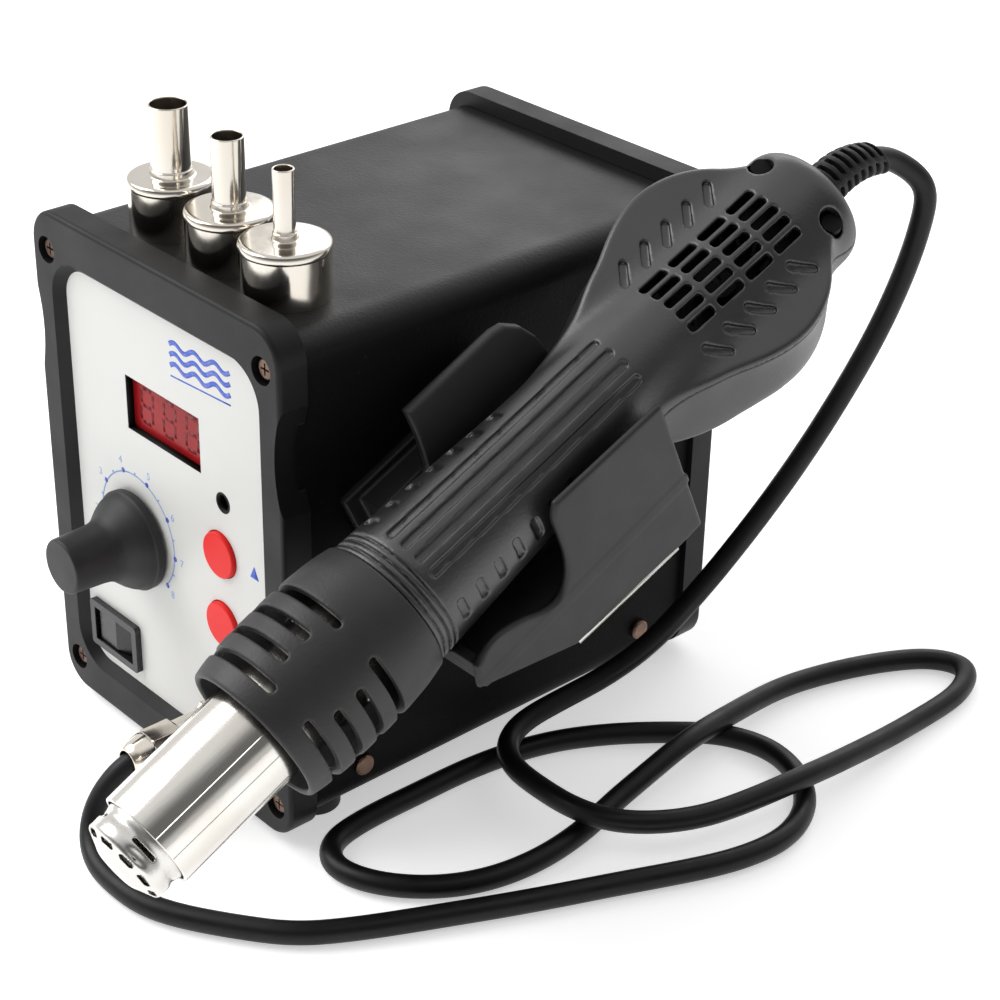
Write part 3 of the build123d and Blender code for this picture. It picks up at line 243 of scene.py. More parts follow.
def lathe(profile, origin, axes, wobble=None, segments=160):
    """Points and faces of a closed profile spun about the frame's first axis.
    wobble(distance, angle) is added to the radius."""
    profile = np.asarray(profile, float)
    count = len(profile)
    angle = np.arange(segments) * 2 * math.pi / segments
    d = np.repeat(profile[:, :1], segments, 1)
    r = np.repeat(profile[:, 1:], segments, 1)
    if wobble:
        r = np.where(r > 0.5, r + wobble(d, angle[None, :]), r)
    local = np.stack([d, r * np.cos(angle), r * np.sin(angle)], -1).reshape(-1, 3)
    i, j = np.meshgrid(np.arange(count - 1), np.arange(segments), indexing="ij")
    k = (j + 1) % segments
    faces = np.stack([i * segments + j, i * segments + k, (i + 1) * segments + k, (i + 1) * segments + j], -1)
    return to_row(local, origin, axes), faces.reshape(-1, 4)


def closed(profile):
    """The profile with its first point added again, so the spun skin closes on itself."""
    return np.vstack([profile, profile[:1]])


# ---- material helpers ----
class Shader:
    """A small builder for node materials in object space."""

    def __init__(self, name):
        self.material = bpy.data.materials.new(name)
        self.material.use_nodes = True
        self.tree = self.material.node_tree
        self.base = self.tree.nodes["Principled BSDF"] if "Principled BSDF" in self.tree.nodes else None
        if self.base is None:
            self.base = self.add("ShaderNodeBsdfPrincipled")
            out = self.add("ShaderNodeOutputMaterial")
            self.join(self.base.outputs[0], out.inputs[0])
        self.place = self.add("ShaderNodeTexCoord").outputs["Object"]

    def add(self, kind, **values):
        node = self.tree.nodes.new(kind)
        for key, value in values.items():
            setattr(node, key, value)
        return node

    def join(self, a, b):
        self.tree.links.new(a, b)

    def noise(self, scale, detail=4.0, rough=0.55, stretch=None):
        """Noise at so many features per metre, stretched along an axis if asked."""
        node = self.add("ShaderNodeTexNoise")
        node.inputs["Scale"].default_value = scale
        node.inputs["Detail"].default_value = detail
        node.inputs["Roughness"].default_value = rough
        source = self.place
        if stretch is not None:
            mapping = self.add("ShaderNodeMapping")
            mapping.inputs["Scale"].default_value = stretch
            self.join(source, mapping.inputs["Vector"])
            source = mapping.outputs[0]
        self.join(source, node.inputs["Vector"])
        return node.outputs["Fac"]

    def levels(self, source, low, high, to_low, to_high):
        node = self.add("ShaderNodeMapRange")
        for key, value in (("From Min", low), ("From Max", high), ("To Min", to_low), ("To Max", to_high)):
            node.inputs[key].default_value = value
        self.join(source, node.inputs["Value"])
        return node.outputs[0]

    def mix(self, factor, a, b):
        """A colour between a and b; each is a colour or a socket."""
        node = self.add("ShaderNodeMix", data_type="RGBA")
        for key, value in ((6, a), (7, b)):
            if isinstance(value, (tuple, list)):
                node.inputs[key].default_value = (*value, 1)
            else:
                self.join(value, node.inputs[key])
        self.join(factor, node.inputs[0])
        return node.outputs[2]

    def maths(self, operation, a, b):
        node = self.add("ShaderNodeMath", operation=operation)
        for i, value in enumerate((a, b)):
            if isinstance(value, (int, float)):
                node.inputs[i].default_value = value
            else:
                self.join(value, node.inputs[i])
        return node.outputs[0]

    def edges(self, radius, gain):
        """One where a convex edge is, nought on flat surfaces."""
        bevel = self.add("ShaderNodeBevel", samples=4)
        bevel.inputs["Radius"].default_value = radius
        geometry = self.add("ShaderNodeNewGeometry")
        dot = self.add("ShaderNodeVectorMath", operation="DOT_PRODUCT")
        self.join(bevel.outputs[0], dot.inputs[0])
        self.join(geometry.outputs["Normal"], dot.inputs[1])
        bend = self.maths("SUBTRACT", 1.0, dot.outputs["Value"])
        node = self.maths("MULTIPLY", bend, gain)
        clamp = self.add("ShaderNodeClamp")
        self.join(node, clamp.inputs[0])
        return clamp.outputs[0]

    def bump(self, source, height, previous=None):
        node = self.add("ShaderNodeBump")
        node.inputs["Strength"].default_value = 1.0
        node.inputs["Distance"].default_value = height
        self.join(source, node.inputs["Height"])
        if previous is not None:
            self.join(previous, node.inputs["Normal"])
        return node.outputs[0]

    def round_edges(self, radius):
        bevel = self.add("ShaderNodeBevel", samples=4)
        bevel.inputs["Radius"].default_value = radius
        return bevel.outputs[0]

    def set(self, key, value):
        if isinstance(value, (int, float)):
            self.base.inputs[key].default_value = value
        elif isinstance(value, (tuple, list)):
            self.base.inputs[key].default_value = (*value, 1)
        else:
            self.join(value, self.base.inputs[key])


def plastic(name, colour, rough, grain=1600.0, height=0.00004, edge=0.0002, wear=0.5, smudge=0.25, shine=0.5):
    """Moulded plastic: fine spark-eroded grain, faint smudges, edges rubbed a little lighter and smoother."""
    s = Shader(name)
    cloud = s.noise(28.0, 5.0)
    fine = s.noise(grain, 2.0)
    pale = tuple(min(1.0, c * (1 + smudge) + 0.004 * smudge) for c in colour)
    dark = tuple(c * (1 - smudge * 0.6) for c in colour)
    body = s.mix(s.levels(cloud, 0.35, 0.68, 0, 1), dark, pale)
    rubbed = s.edges(edge * 2.5, 3.0)
    worn = tuple(min(1.0, c * 1.7 + 0.012) for c in colour)
    spots = s.maths("MULTIPLY", s.maths("MULTIPLY", rubbed, s.levels(s.noise(300.0), 0.4, 0.65, 0.2, 1)), wear)
    s.set("Base Color", s.mix(spots, body, worn))
    s.set("Roughness", s.levels(s.noise(60.0, 6.0), 0.3, 0.7, rough - 0.06, rough + 0.07))
    s.set("Specular IOR Level", shine)
    s.set("Normal", s.bump(fine, height, s.round_edges(edge)))
    return s.material


def powder_coat(name, colour, rough, shine, top_painted_sheen):
    """Textured powder coat on sheet metal: small rounded bumps and pale specks, with a painted sheen: faces that point
    up reflect more than the sides.
    """
    s = Shader(name)
    lumps = s.add("ShaderNodeTexVoronoi", feature="SMOOTH_F1")
    lumps.inputs["Scale"].default_value = 1500.0
    s.join(s.place, lumps.inputs["Vector"])
    cloud = s.levels(s.noise(18.0, 6.0), 0.35, 0.7, 0, 1)
    body = s.mix(cloud, tuple(c * 0.88 for c in colour), tuple(c * 1.12 for c in colour))
    dust = s.levels(s.noise(900.0, 2.0), 0.70, 0.76, 0, 0.10)
    s.set("Base Color", s.mix(dust, body, (0.12, 0.12, 0.12)))
    s.set("Roughness", s.levels(s.noise(45.0, 6.0), 0.3, 0.7, rough - 0.05, rough + 0.06))
    # painted sheen: how much the paint reflects follows which way the surface faces, strong on the top, weak on the
    # sides
    facing = s.add("ShaderNodeSeparateXYZ")
    s.join(s.add("ShaderNodeNewGeometry").outputs["Normal"], facing.inputs[0])
    s.set("Specular IOR Level", s.levels(facing.outputs["Z"], 0.2, 0.9, shine, top_painted_sheen))
    soft = s.bump(s.noise(700.0, 3.0), 0.00005, s.round_edges(0.0003))
    s.set("Normal", s.bump(lumps.outputs["Distance"], 0.00005, soft))
    return s.material


def enamel(name, colour, rough):
    """Smooth printed enamel on the panel, with faint uneven dirt."""
    s = Shader(name)
    cloud = s.levels(s.noise(12.0, 5.0), 0.4, 0.8, 0, 1)
    s.set("Base Color", s.mix(cloud, colour, tuple(c * 0.965 for c in colour)))
    s.set("Roughness", s.levels(s.noise(80.0, 4.0), 0.3, 0.7, rough - 0.05, rough + 0.05))
    s.set("Specular IOR Level", 0.4)
    s.set("Normal", s.bump(s.noise(350.0, 3.0), 0.00001, s.round_edges(0.0002)))
    return s.material


def metal(name, colour, rough, stretch=(1, 1, 1), scratch=0.00001, tint=None, scale=220.0):
    """Bare or plated metal with drawn scratches, uneven polish and a faint tint in places."""
    s = Shader(name)
    streaks = s.noise(scale, 5.0, 0.6, stretch)
    cloud = s.levels(s.noise(55.0, 4.0), 0.4, 0.7, 0, 1)
    other = tint or tuple(c * 0.86 for c in colour)
    s.set("Base Color", s.mix(cloud, colour, other))
    s.set("Metallic", 1.0)
    uneven = s.levels(streaks, 0.3, 0.7, rough * 0.65, rough * 1.5)
    s.set("Roughness", s.maths("ADD", uneven, s.levels(cloud, 0, 1, 0, rough * 0.35)))
    s.set("Normal", s.bump(streaks, scratch, s.round_edges(0.00015)))
    return s.material


def rubber(name, colour, rough, shine=0.4):
    """Soft cable or foot rubber: satin, with dust caught on it and a fine grain."""
    s = Shader(name)
    cloud = s.levels(s.noise(40.0, 6.0), 0.42, 0.72, 0, 1)
    s.set("Base Color", s.mix(cloud, colour, tuple(c * 1.5 + 0.004 for c in colour)))
    s.set("Roughness", s.levels(s.noise(120.0, 6.0), 0.3, 0.7, rough - 0.08, rough + 0.1))
    s.set("Specular IOR Level", shine)
    s.set("Normal", s.bump(s.noise(1200.0, 3.0), 0.00003))
    return s.material


def ink(name, colour):
    """Screen-printed ink, slightly broken up."""
    s = Shader(name)
    thin = s.levels(s.noise(900.0, 3.0), 0.45, 0.8, 0, 0.5)
    s.set("Base Color", s.mix(thin, colour, tuple(0.5 * c + 0.35 for c in colour)))
    s.set("Roughness", s.levels(s.noise(300.0), 0.3, 0.7, 0.4, 0.55))
    return s.material


def red_glass(name):
    """The display's red filter: a glossy acrylic sheet of dull red."""
    s = Shader(name)
    cloud = s.levels(s.noise(70.0, 3.0), 0.3, 0.75, 0, 1)
    s.set("Base Color", s.mix(cloud, (0.29, 0.008, 0.011), (0.37, 0.012, 0.015)))
    s.set("Roughness", s.levels(s.noise(90.0, 4.0), 0.3, 0.7, 0.20, 0.30))
    s.set("Specular IOR Level", 0.14)
    s.set("Normal", s.bump(s.noise(260.0, 2.0), 0.00001))
    return s.material


CHARCOAL = plastic("charcoal plastic", (0.0075, 0.0075, 0.008), 0.46, 1500.0, 0.00003, shine=0.24)
HANDLE = plastic("handle plastic", (0.010, 0.010, 0.0115), 0.38, 1300.0, 0.00005, 0.0003, 0.7, 0.35, 1.0)
GUARD = plastic("guard plastic", (0.012, 0.012, 0.013), 0.5, 1300.0, 0.00006, 0.0003, 0.9, 0.4, 0.55)
HOLDER = plastic("holder plastic", (0.012, 0.012, 0.013), 0.5, 1400.0, 0.00004, 0.0003, 0.8, 0.3, 0.5)
KNOB = plastic("knob plastic", (0.010, 0.010, 0.011), 0.52, 1700.0, 0.00003, 0.0002, 0.5, 0.3, 0.45)
GLOSS_BLACK = plastic("switch plastic", (0.006, 0.006, 0.007), 0.26, 1700.0, 0.00001, 0.0002, 0.3, 0.3, 0.5)
INNER_BLACK = plastic("inner plastic", (0.004, 0.004, 0.0045), 0.6, 1500.0, 0.00003, 0.0002, 0.2, 0.3, 0.2)
BUTTON = plastic("button plastic", (0.80, 0.020, 0.018), 0.36, 1700.0, 0.00001, 0.0002, 0.1, 0.06, 0.18)
BLUE_CASE = plastic("trimmer plastic", (0.02, 0.08, 0.40), 0.4)
CAN_BLUE = plastic("capacitor sleeve", (0.02, 0.03, 0.10), 0.3)
NYLON = plastic("nylon", (0.70, 0.69, 0.64), 0.5)
CERAMIC = plastic("ceramic", (0.72, 0.68, 0.60), 0.8, 900.0, 0.0001)
MICA = plastic("mica", (0.40, 0.31, 0.18), 0.35, 400.0, 0.00006)
BOARD = plastic("board laminate", (0.012, 0.12, 0.045), 0.35, 900.0, 0.00003)
# the last two numbers are the sides' reflection and the top's painted sheen
CASE_PAINT = powder_coat("case paint", (0.0075, 0.0075, 0.008), 0.45, 0.05, 0.32)
WHITE = enamel("panel enamel", (0.70, 0.70, 0.68), 0.38)
RED_WINDOW = red_glass("display window")
NICKEL = metal("nickel plate", (0.70, 0.66, 0.60), 0.12, (1, 1, 0.25), 0.00002, (0.70, 0.64, 0.55))
BARREL = metal("barrel steel", (0.80, 0.775, 0.73), 0.13, (1, 0.10, 0.10), 0.00004, (0.73, 0.69, 0.63), 420.0)
TIP = metal("tip steel", (0.72, 0.70, 0.67), 0.22, (1, 1, 1), 0.00004, (0.70, 0.66, 0.61), 300.0)
GLAND = metal("gland plate", (0.84, 0.79, 0.72), 0.12, (1, 0.3, 1), 0.00001, (0.80, 0.70, 0.58))
SCREW = metal("screw plate", (0.22, 0.14, 0.105), 0.3, (1, 1, 1), 0.00003, (0.10, 0.065, 0.05), 500.0)
SOOT = metal("sooted steel", (0.05, 0.035, 0.025), 0.5, (1, 1, 1), 0.00004, (0.02, 0.015, 0.012), 300.0)
GALVANISED = metal("galvanised sheet", (0.50, 0.50, 0.48), 0.4, (1, 1, 1), 0.00004)
LAMINATION = metal("laminations", (0.16, 0.14, 0.13), 0.5, (1, 20, 1), 0.0001)
COPPER = metal("winding wire", (0.50, 0.20, 0.09), 0.35, (1, 1, 12), 0.0001)
ALUMINIUM = metal("aluminium", (0.62, 0.62, 0.63), 0.35, (1, 1, 0.1), 0.00003)
CABLE = rubber("cable sheath", (0.0025, 0.0025, 0.003), 0.42, 0.32)
FOOT = rubber("foot rubber", (0.006, 0.006, 0.006), 0.55)
BLUE_INK = ink("blue ink", (0.045, 0.115, 0.60))
PALE_INK = ink("pale blue ink", (0.22, 0.34, 0.70))
DIGIT = plastic("unlit segment", (0.20, 0.006, 0.010), 0.3, 900.0, 0.00001)

CAD_LOOKS = {
    CASE_PAINT: ["case_shell", "rear_panel"],
    CHARCOAL: ["front_bezel", "rear_bezel"],
    WHITE: ["front_panel"],
    SCREW: ["bezel_screws", "side_screws", "foot_screws", "tray_screws", "holder_screws"],
    GALVANISED: ["chassis_tray", "transformer_clamp", "potentiometer"],
    FOOT: ["rubber_feet"],
    RED_WINDOW: ["display_window"],
    GLOSS_BLACK: ["power_switch_frame", "power_rocker", "tact_switches"],
    INNER_BLACK: ["shell_screws", "display_module", "triac", "mains_inlet", "fuse_drawer", "blower_housing", "impeller"],
    BOARD: ["control_board", "power_board", "handle_board"],
    NYLON: ["board_posts", "mains_fuse", "reed_switch"],
    BUTTON: ["temperature_up_button", "temperature_down_button"],
    BLUE_CASE: ["cal_trimmer"],
    LAMINATION: ["transformer_core"],
    COPPER: ["transformer_windings"],
    ALUMINIUM: ["heat_sink", "potentiometer_shaft", "potentiometer_nut"],
    CAN_BLUE: ["capacitors"],
    GLAND: ["gland_nut", "holder_magnet"],
    MICA: ["mica_sleeve"],
    CERAMIC: ["heater_core"],
    SOOT: ["heater_coil", "thermocouple", "blower_motor"],
}


def dress_cad():
    """Every CAD node listed in CAD_LOOKS gets a finished material and clean shading."""
    for material, names in CAD_LOOKS.items():
        for name in names:
            mesh = nodes[name].data
            mesh.materials.clear()
            mesh.materials.append(material)
            mesh.shade_smooth()
            mesh.set_sharp_from_angle(angle=math.radians(30))


# ---- gun: handle shells ----
SHELL_START = 72.9
WALL = 2.0
TAIL_END = 221.6
PLATE_TOP = 6.0
PARTING = curve([(126, -3), (138, 1.2), (152, 3.4), (162, 4.4), (205, 4.4), (213, -3), (226, -3)], 3.0)
TUBE_RADIUS = curve(
    [(74, 17.1), (80, 16.8), (94, 16.0), (108, 15.2), (120, 14.5), (140, 14.0), (160, 13.6), (186, 13.5)]
    + [(195, 14.2), (202, 15.8), (207, 16.5), (226, 16.5)],
    2.0,
)
TUBE_HEIGHT = curve([(140, 0), (160, -0.9), (172, -1.4), (186, -1.7), (195, -2.7), (202, -4.3), (207, -5), (226, -5)], 2.0)
SHOULDER_HALF = curve([(118, 3), (136, 10.5), (146, 13.6), (153, 15.4), (161, 18.9), (168, 21.2), (174, 22.8), (184, 23.4)], 2.0)
BELLY_HALF = curve([(116, 4), (134, 12), (145, 17.5), (155, 21.6), (163, 24.1), (170, 25.3), (184, 25.4)], 2.0)
SHOULDER_TOP = curve([(126, -2), (140, 3.0), (152, 5.2), (162, 6.2), (215, PLATE_TOP)], 2.0)
BELLY_LOW = curve([(126, -4), (142, -10.5), (158, -14), (170, -15), (215, -15)], 2.0)


def disc_and_flare(s, u, centre, radius, half):
    """Plan distance to a disc that runs down to the neck along a flare."""
    disc = np.hypot(s - centre, u) - radius
    flare = np.maximum((np.abs(u) - half(s)) * 0.9, s - centre + 6.0)
    return smooth_min(disc, flare, 3.0)


def gun_body(s, u, n):
    """The handle's outside, without its grooves."""
    tube = (np.hypot(u, n - TUBE_HEIGHT(s)) - TUBE_RADIUS(s)) * 0.98
    lower = ramp(5.0 - n, 0.0, 17.0)
    upper_plan = disc_and_flare(s, u - 1.2, 186.8, 26.6, SHOULDER_HALF)
    lower_plan = disc_and_flare(s, u, 184.6, 27.8, BELLY_HALF)
    plan = upper_plan * (1 - lower) + lower_plan * lower
    drum = smooth_max(plan, n - SHOULDER_TOP(s), 1.8)
    drum = smooth_max(drum, BELLY_LOW(s) - n, 9.0)
    body = smooth_min(tube, drum, 5.0)
    body = smooth_max(body, s - TAIL_END, 6.0)
    return smooth_max(body, SHELL_START - s, 0.5)


def gun_details(s, u, n, body):
    """Grooves, notches, rings, pockets and screw holes cut into the handle; the vents are cut in handle_shell."""
    radial = np.hypot(u, n)
    angle = np.degrees(np.arctan2(u, n))
    groove = smooth_max(capsule(s - 114.9, nearest_of(u, -6.4, 4.27, 4), 34.3, 0.98), -(body + 0.8), 0.2)
    groove = np.where(n > 0, groove, 9.0)
    body = smooth_max(body, -groove, 0.3)
    for centre in (54.0, -64.0):
        arc = radial * np.radians(angle - centre)
        notch = smooth_max(pill(arc, nearest_of(s, 82.4, 6.3, 7), 2.9, 1.1, 0.9), -(body + 0.8), 0.2)
        body = smooth_max(body, -np.where(s < 132, notch, 9.0), 0.4)
    ring = np.maximum(np.abs(nearest_of(s, 74.5, 1.8, 3)) - 0.26, -(body + 0.75))
    body = smooth_max(body, -ring, 0.25)
    turn = math.radians(46.0)
    for side in (-1, 1):
        slot = nearest_of(s, 168.9, 7.52, 5)
        x = slot * math.cos(turn) + (side * (u - 0.8) - 14.4) * math.sin(turn)
        y = -slot * math.sin(turn) + (side * (u - 0.8) - 14.4) * math.cos(turn)
        pocket = smooth_max(capsule(x, y, 3.9, 1.05), np.maximum(PLATE_TOP - 0.95 - n, -(body + 0.95)), 0.15)
        body = smooth_max(body, -pocket, 0.2)
        hole = np.hypot(s - 212.9, u - side * 10.9) - 3.05
        body = smooth_max(body, -smooth_max(hole, 1.5 - n, 0.3), 0.4)
    return body


def vent_grid(s, u):
    """Distance to the nearest of the intake slots: four along, five across."""
    across = u - 0.027 * (200.7 - s)
    return pill(nearest_of(s, 170.7, 10.0, 4), nearest_of(across, -7.24, 3.62, 5), 4.15, 1.1, 0.8)


def handle_shell(side):
    """Half of the hollow handle: side is 1 for the upper, -1 for the lower."""

    def field(s, u, n):
        body = gun_body(s, u, n)
        skin = smooth_max(gun_details(s, u, n, body), -(body + WALL), 0.5)
        vents = np.where(n > 4.5, vent_grid(s, u), 9.0)
        skin = smooth_max(skin, -vents, 0.35)
        cable_hole = np.where(s > 200, np.hypot(u, n + 5.0) - 4.5, 9.0)
        skin = smooth_max(skin, -cable_hole, 0.4)
        return smooth_max(skin, side * (PARTING(s) - n) + 0.1, 0.3)

    low, high = (-4.0, 18.8) if side > 0 else (-19.8, 6.0)
    points, faces = surface(field, (71.5, -30, low), (224.0, 30, high), 0.5)
    return to_row(points, GUN_ORIGIN, GUN_AXES), faces


# ---- gun: heat guard ----
GUARD_OUT = curve([(30, 17.6), (35, 18.7), (42, 19.4), (54, 19.6), (61, 19.4), (67, 18.9), (71, 18.2), (73, 17.7)], 1.0)
GUARD_WALL = curve([(30, 1.2), (36, 2.1), (70, 2.1)], 1.5)


def heat_guard():
    """The slotted guard: three banks of four slots round a thin skirt."""

    def field(s, u, n):
        radial = np.hypot(u, n)
        outer = radial - GUARD_OUT(s)
        shell = smooth_max(outer, -outer - GUARD_WALL(s), 0.3)
        collar = np.maximum(radial - 17.5, 12.6 - radial)
        back = np.maximum(np.abs(s - 71.0) - 1.6, collar)
        shell = smooth_min(shell, back, 0.6)
        shell = smooth_max(shell, 31.7 - s, 0.7)
        shell = smooth_max(shell, s - 72.7, 0.5)
        angle = np.degrees(np.arctan2(u, n))
        along = nearest_of(s, 38.3, 6.5, 4)
        row = np.clip(np.round((s - 38.3) / 6.5), 0, 3)
        half = np.where((row == 0) | (row == 3), 46.0, 37.0)
        turned = (angle - 41.0 + 60.0) % 120.0 - 60.0
        arc = radial * np.radians(np.maximum(np.abs(turned) - half, -60.0)) + 1.25
        slot = np.hypot(along, np.maximum(arc, 0)) - 1.25
        return smooth_max(shell, -slot, 0.25)

    points, faces = surface(field, (29.5, -21, -21), (76, 21, 21), 0.45)
    return to_row(points, GUN_ORIGIN, GUN_AXES), faces


# ---- gun: barrel and tip ----
BARREL_R = 12.1
SEAM = (math.radians(112.0), math.radians(140.0))


def barrel_seam(d, angle):
    """The sheet's lap seam: a strip that stands a little proud between two sharp steps; the tube widens inwards."""
    lap = ramp(angle, SEAM[0] - 0.006, SEAM[0] + 0.006) - ramp(angle, SEAM[1] - 0.006, SEAM[1] + 0.006)
    across = (angle - SEAM[0]) / (SEAM[1] - SEAM[0])
    return (0.26 - 0.34 * across) * lap + 0.9 * ramp(d, 0.0, 34.0)


def barrel():
    profile = [(0, BARREL_R - 0.75), (0, BARREL_R), (88, BARREL_R), (88, BARREL_R - 0.8), (0, BARREL_R - 0.75)]
    profile = round_profile(profile, 0.3)
    return lathe(profile, GUN_ORIGIN, GUN_AXES, barrel_seam, 1440)


def around(angle, first, count):
    """Angle measured from the nearest of several places spaced evenly round a circle."""
    part = 2 * math.pi / count
    return (angle - math.radians(first) + part / 2) % part - part / 2


def barrel_tip():
    """The pressed nose: a waisted skirt with louvres and dimples, slots along its rim and a domed front."""

    def field(s, u, n):
        radial = np.hypot(u, n)
        angle = np.arctan2(u, n)
        lobes = 0.28 * np.cos(4 * (angle - math.radians(18.0))) * np.exp(-(((s + 4.6) / 2.0) ** 2))
        waist = 10.75 - 0.5 * np.exp(-(((s + 1.9) / 1.2) ** 2)) + lobes
        dome = s + 9.0 - 0.022 * radial**2 + 0.35 * np.exp(-((radial - 5.0) ** 2) / 3.0)
        body = smooth_max(radial - waist, -dome, 1.0)
        hollow = smooth_max(radial - waist + 0.9, 1.0 - dome, 0.8)
        body = smooth_max(body, -hollow, 0.2)
        body = smooth_max(body, s - 6.0, 0.3)
        rim = np.maximum(np.abs(around(angle, -17.0, 10)) * 9.5 - 1.2, 0)
        body = smooth_max(body, -(np.hypot(rim, np.hypot(radial - 8.9, s + 6.1)) - 1.25), 0.2)
        louvre = around(angle, -22.0, 4) * 10.6
        slit = np.hypot(np.maximum(np.abs(louvre) - 2.9, 0), s + 2.7) - 0.5
        body = smooth_max(body, -np.where(radial > 8, slit, 9.0), 0.2)
        pocket = np.sqrt((louvre / 2.4) ** 2 + (s + 4.9) ** 2 + (radial - 11.2) ** 2) - 1.15
        return smooth_max(body, -pocket, 0.4)

    points, faces = surface(field, (-10.0, -12.2, -12.2), (7, 12.2, 12.2), 0.22)
    return to_row(points, GUN_ORIGIN, GUN_AXES), faces


# ---- gun: strain relief and cable ----
RELIEF_END = 244.5
RELIEF_MID = -5.0
CABLE_R = 2.9


def relief_droop(s):
    """How far the relief's centre hangs below the gun's axis."""
    return 0.024 * np.maximum(s - 229.0, 0) ** 2


DROOP_UP = np.array([0.0, UP @ GUN_AXES[1], UP @ GUN_AXES[2]])


def strain_relief():
    """A ribbed bend protector: rings joined by four spines over a thin core."""

    def field(s, u, n):
        droop = relief_droop(s)
        x = u + droop * DROOP_UP[1]
        y = n - RELIEF_MID + droop * DROOP_UP[2]
        radial = np.hypot(x, y)
        taper = 5.8 - (s - 222.0) * 0.04
        core = radial - taper + 1.9
        rings = np.maximum(np.abs(nearest_of(s, 223.2, 2.66, 9)) - 0.66, radial - taper)
        turn = math.radians(45)
        a, b = x * math.cos(turn) + y * math.sin(turn), y * math.cos(turn) - x * math.sin(turn)
        spines = np.maximum(np.minimum(np.abs(a), np.abs(b)) - 0.75, radial - taper + 0.1)
        body = smooth_min(smooth_min(core, rings, 0.35), spines, 0.35)
        body = smooth_max(body, CABLE_R + 0.1 - radial, 0.2)
        return smooth_max(smooth_max(body, s - RELIEF_END, 0.5), 218.0 - s, 0.3)

    points, faces = surface(field, (216.5, -9, -17), (246.5, 9, 3), 0.3)
    return to_row(points, GUN_ORIGIN, GUN_AXES), faces


def relief_centre(s):
    """A point on the relief's drooping centre line, in the row's frame."""
    return to_row(np.array([s, 0, RELIEF_MID]) - relief_droop(s) * DROOP_UP, GUN_ORIGIN, GUN_AXES)


BENCH = 3.0
OVER = 9.2


def cable_route():
    """Where the cable goes: out of the gland, two loops on the bench, then up to the gun."""
    low, high = low_high("cable_gland")
    x, z = (low[0] + high[0]) / 2, (low[2] + high[2]) / 2
    mouth = low[1]
    route = [(x, mouth + 20, z), (x, mouth + 8, z), (x, mouth + 1, z), (x - 1, mouth - 5, z - 4.5)]
    route += [(x - 1.4, mouth - 9.4, z - 10.5), (x + 1, mouth - 12.6, 6), (25, -112.5, 3.6), (34, -113, BENCH)]
    route += [(45, -112, BENCH), (53, -108.6, BENCH), (66, -100, BENCH), (77.5, -90, BENCH), (97, -54.5, BENCH)]
    route += [(111, -24, BENCH), (124.5, 8.5, BENCH), (126, 24, BENCH), (121, 36.5, BENCH), (112, 44.5, BENCH)]
    route += [(99, 48, BENCH), (86, 43.5, BENCH), (77, 34.5, BENCH), (66, 20, BENCH), (58.5, 5, BENCH)]
    route += [(54.4, -14, BENCH), (53.4, -36, BENCH), (53.4, -54, BENCH), (55.6, -64.5, BENCH), (62, -69, BENCH)]
    route += [(70, -67.5, BENCH), (78, -62.5, BENCH), (86, -53.5, BENCH), (91, -42.5, BENCH), (93, -28.5, BENCH)]
    route += [(92, -12.5, 3.6), (90, -1, 4.8), (89, 12, 7), (88, 26, OVER), (84.5, 47, 6.8), (82.4, 75, 3.6)]
    route += [(90.5, 102, BENCH), (99.5, 115.5, BENCH), (107.5, 118.5, BENCH), (113.4, 109, BENCH)]
    route += [(115.6, 84, 3.6), (117.6, 52, 7.6), (117.6, 38, OVER), (115, 21, 8.8), (112, 8, 8.8)]
    route += [(107, -3, 9.4), (100, -11, 9.8), (90.5, -14.8, 9.8), (78, -15.4, 9.6), (67, -14.6, 9.8)]
    route += [(60, -10.4, 10.4), (57, -2.6, 12), (58.4, 9, 14.4), (62, 22.5, 18.4), (65.5, 35, 25), (69, 50, 38)]
    route += [(72.4, 64, 53), (76, 77, 70), (79, 88, 87), (81.4, 96, 102), (83, 102.4, 117), (84, 106.2, 131)]
    route += [(83.8, 107, 141)]
    end = [relief_centre(s) for s in (249.5, 244.0, 236.0, 227.0)]
    return np.array(route + [tuple(p) for p in end])


def through(points, spacing):
    """A smooth curve through points (centripetal Catmull-Rom), sampled about every spacing."""
    padded = np.vstack([2 * points[0] - points[1], points, 2 * points[-1] - points[-2]])
    out = []
    for p0, p1, p2, p3 in zip(padded, padded[1:], padded[2:], padded[3:]):
        t1 = np.linalg.norm(p1 - p0) ** 0.5
        t2 = t1 + np.linalg.norm(p2 - p1) ** 0.5
        t3 = t2 + np.linalg.norm(p3 - p2) ** 0.5
        count = max(2, int(np.linalg.norm(p2 - p1) / spacing))
        t = np.linspace(t1, t2, count, endpoint=False)[:, None]
        a1 = (t1 - t) / t1 * p0 + t / t1 * p1
        a2 = (t2 - t) / (t2 - t1) * p1 + (t - t1) / (t2 - t1) * p2
        a3 = (t3 - t) / (t3 - t2) * p2 + (t - t2) / (t3 - t2) * p3
        b1 = (t2 - t) / t2 * a1 + t / t2 * a2
        b2 = (t3 - t) / (t3 - t1) * a2 + (t - t1) / (t3 - t1) * a3
        out.append((t2 - t) / (t2 - t1) * b1 + (t - t1) / (t2 - t1) * b2)
    return np.vstack(out + [points[-1:]])


def eased(path, passes):
    """The path with its small kinks relaxed; the ends stay."""
    path = path.copy()
    for _ in range(passes):
        path[2:-2] = 0.25 * path[1:-3] + 0.5 * path[2:-2] + 0.25 * path[3:-1]
    return path


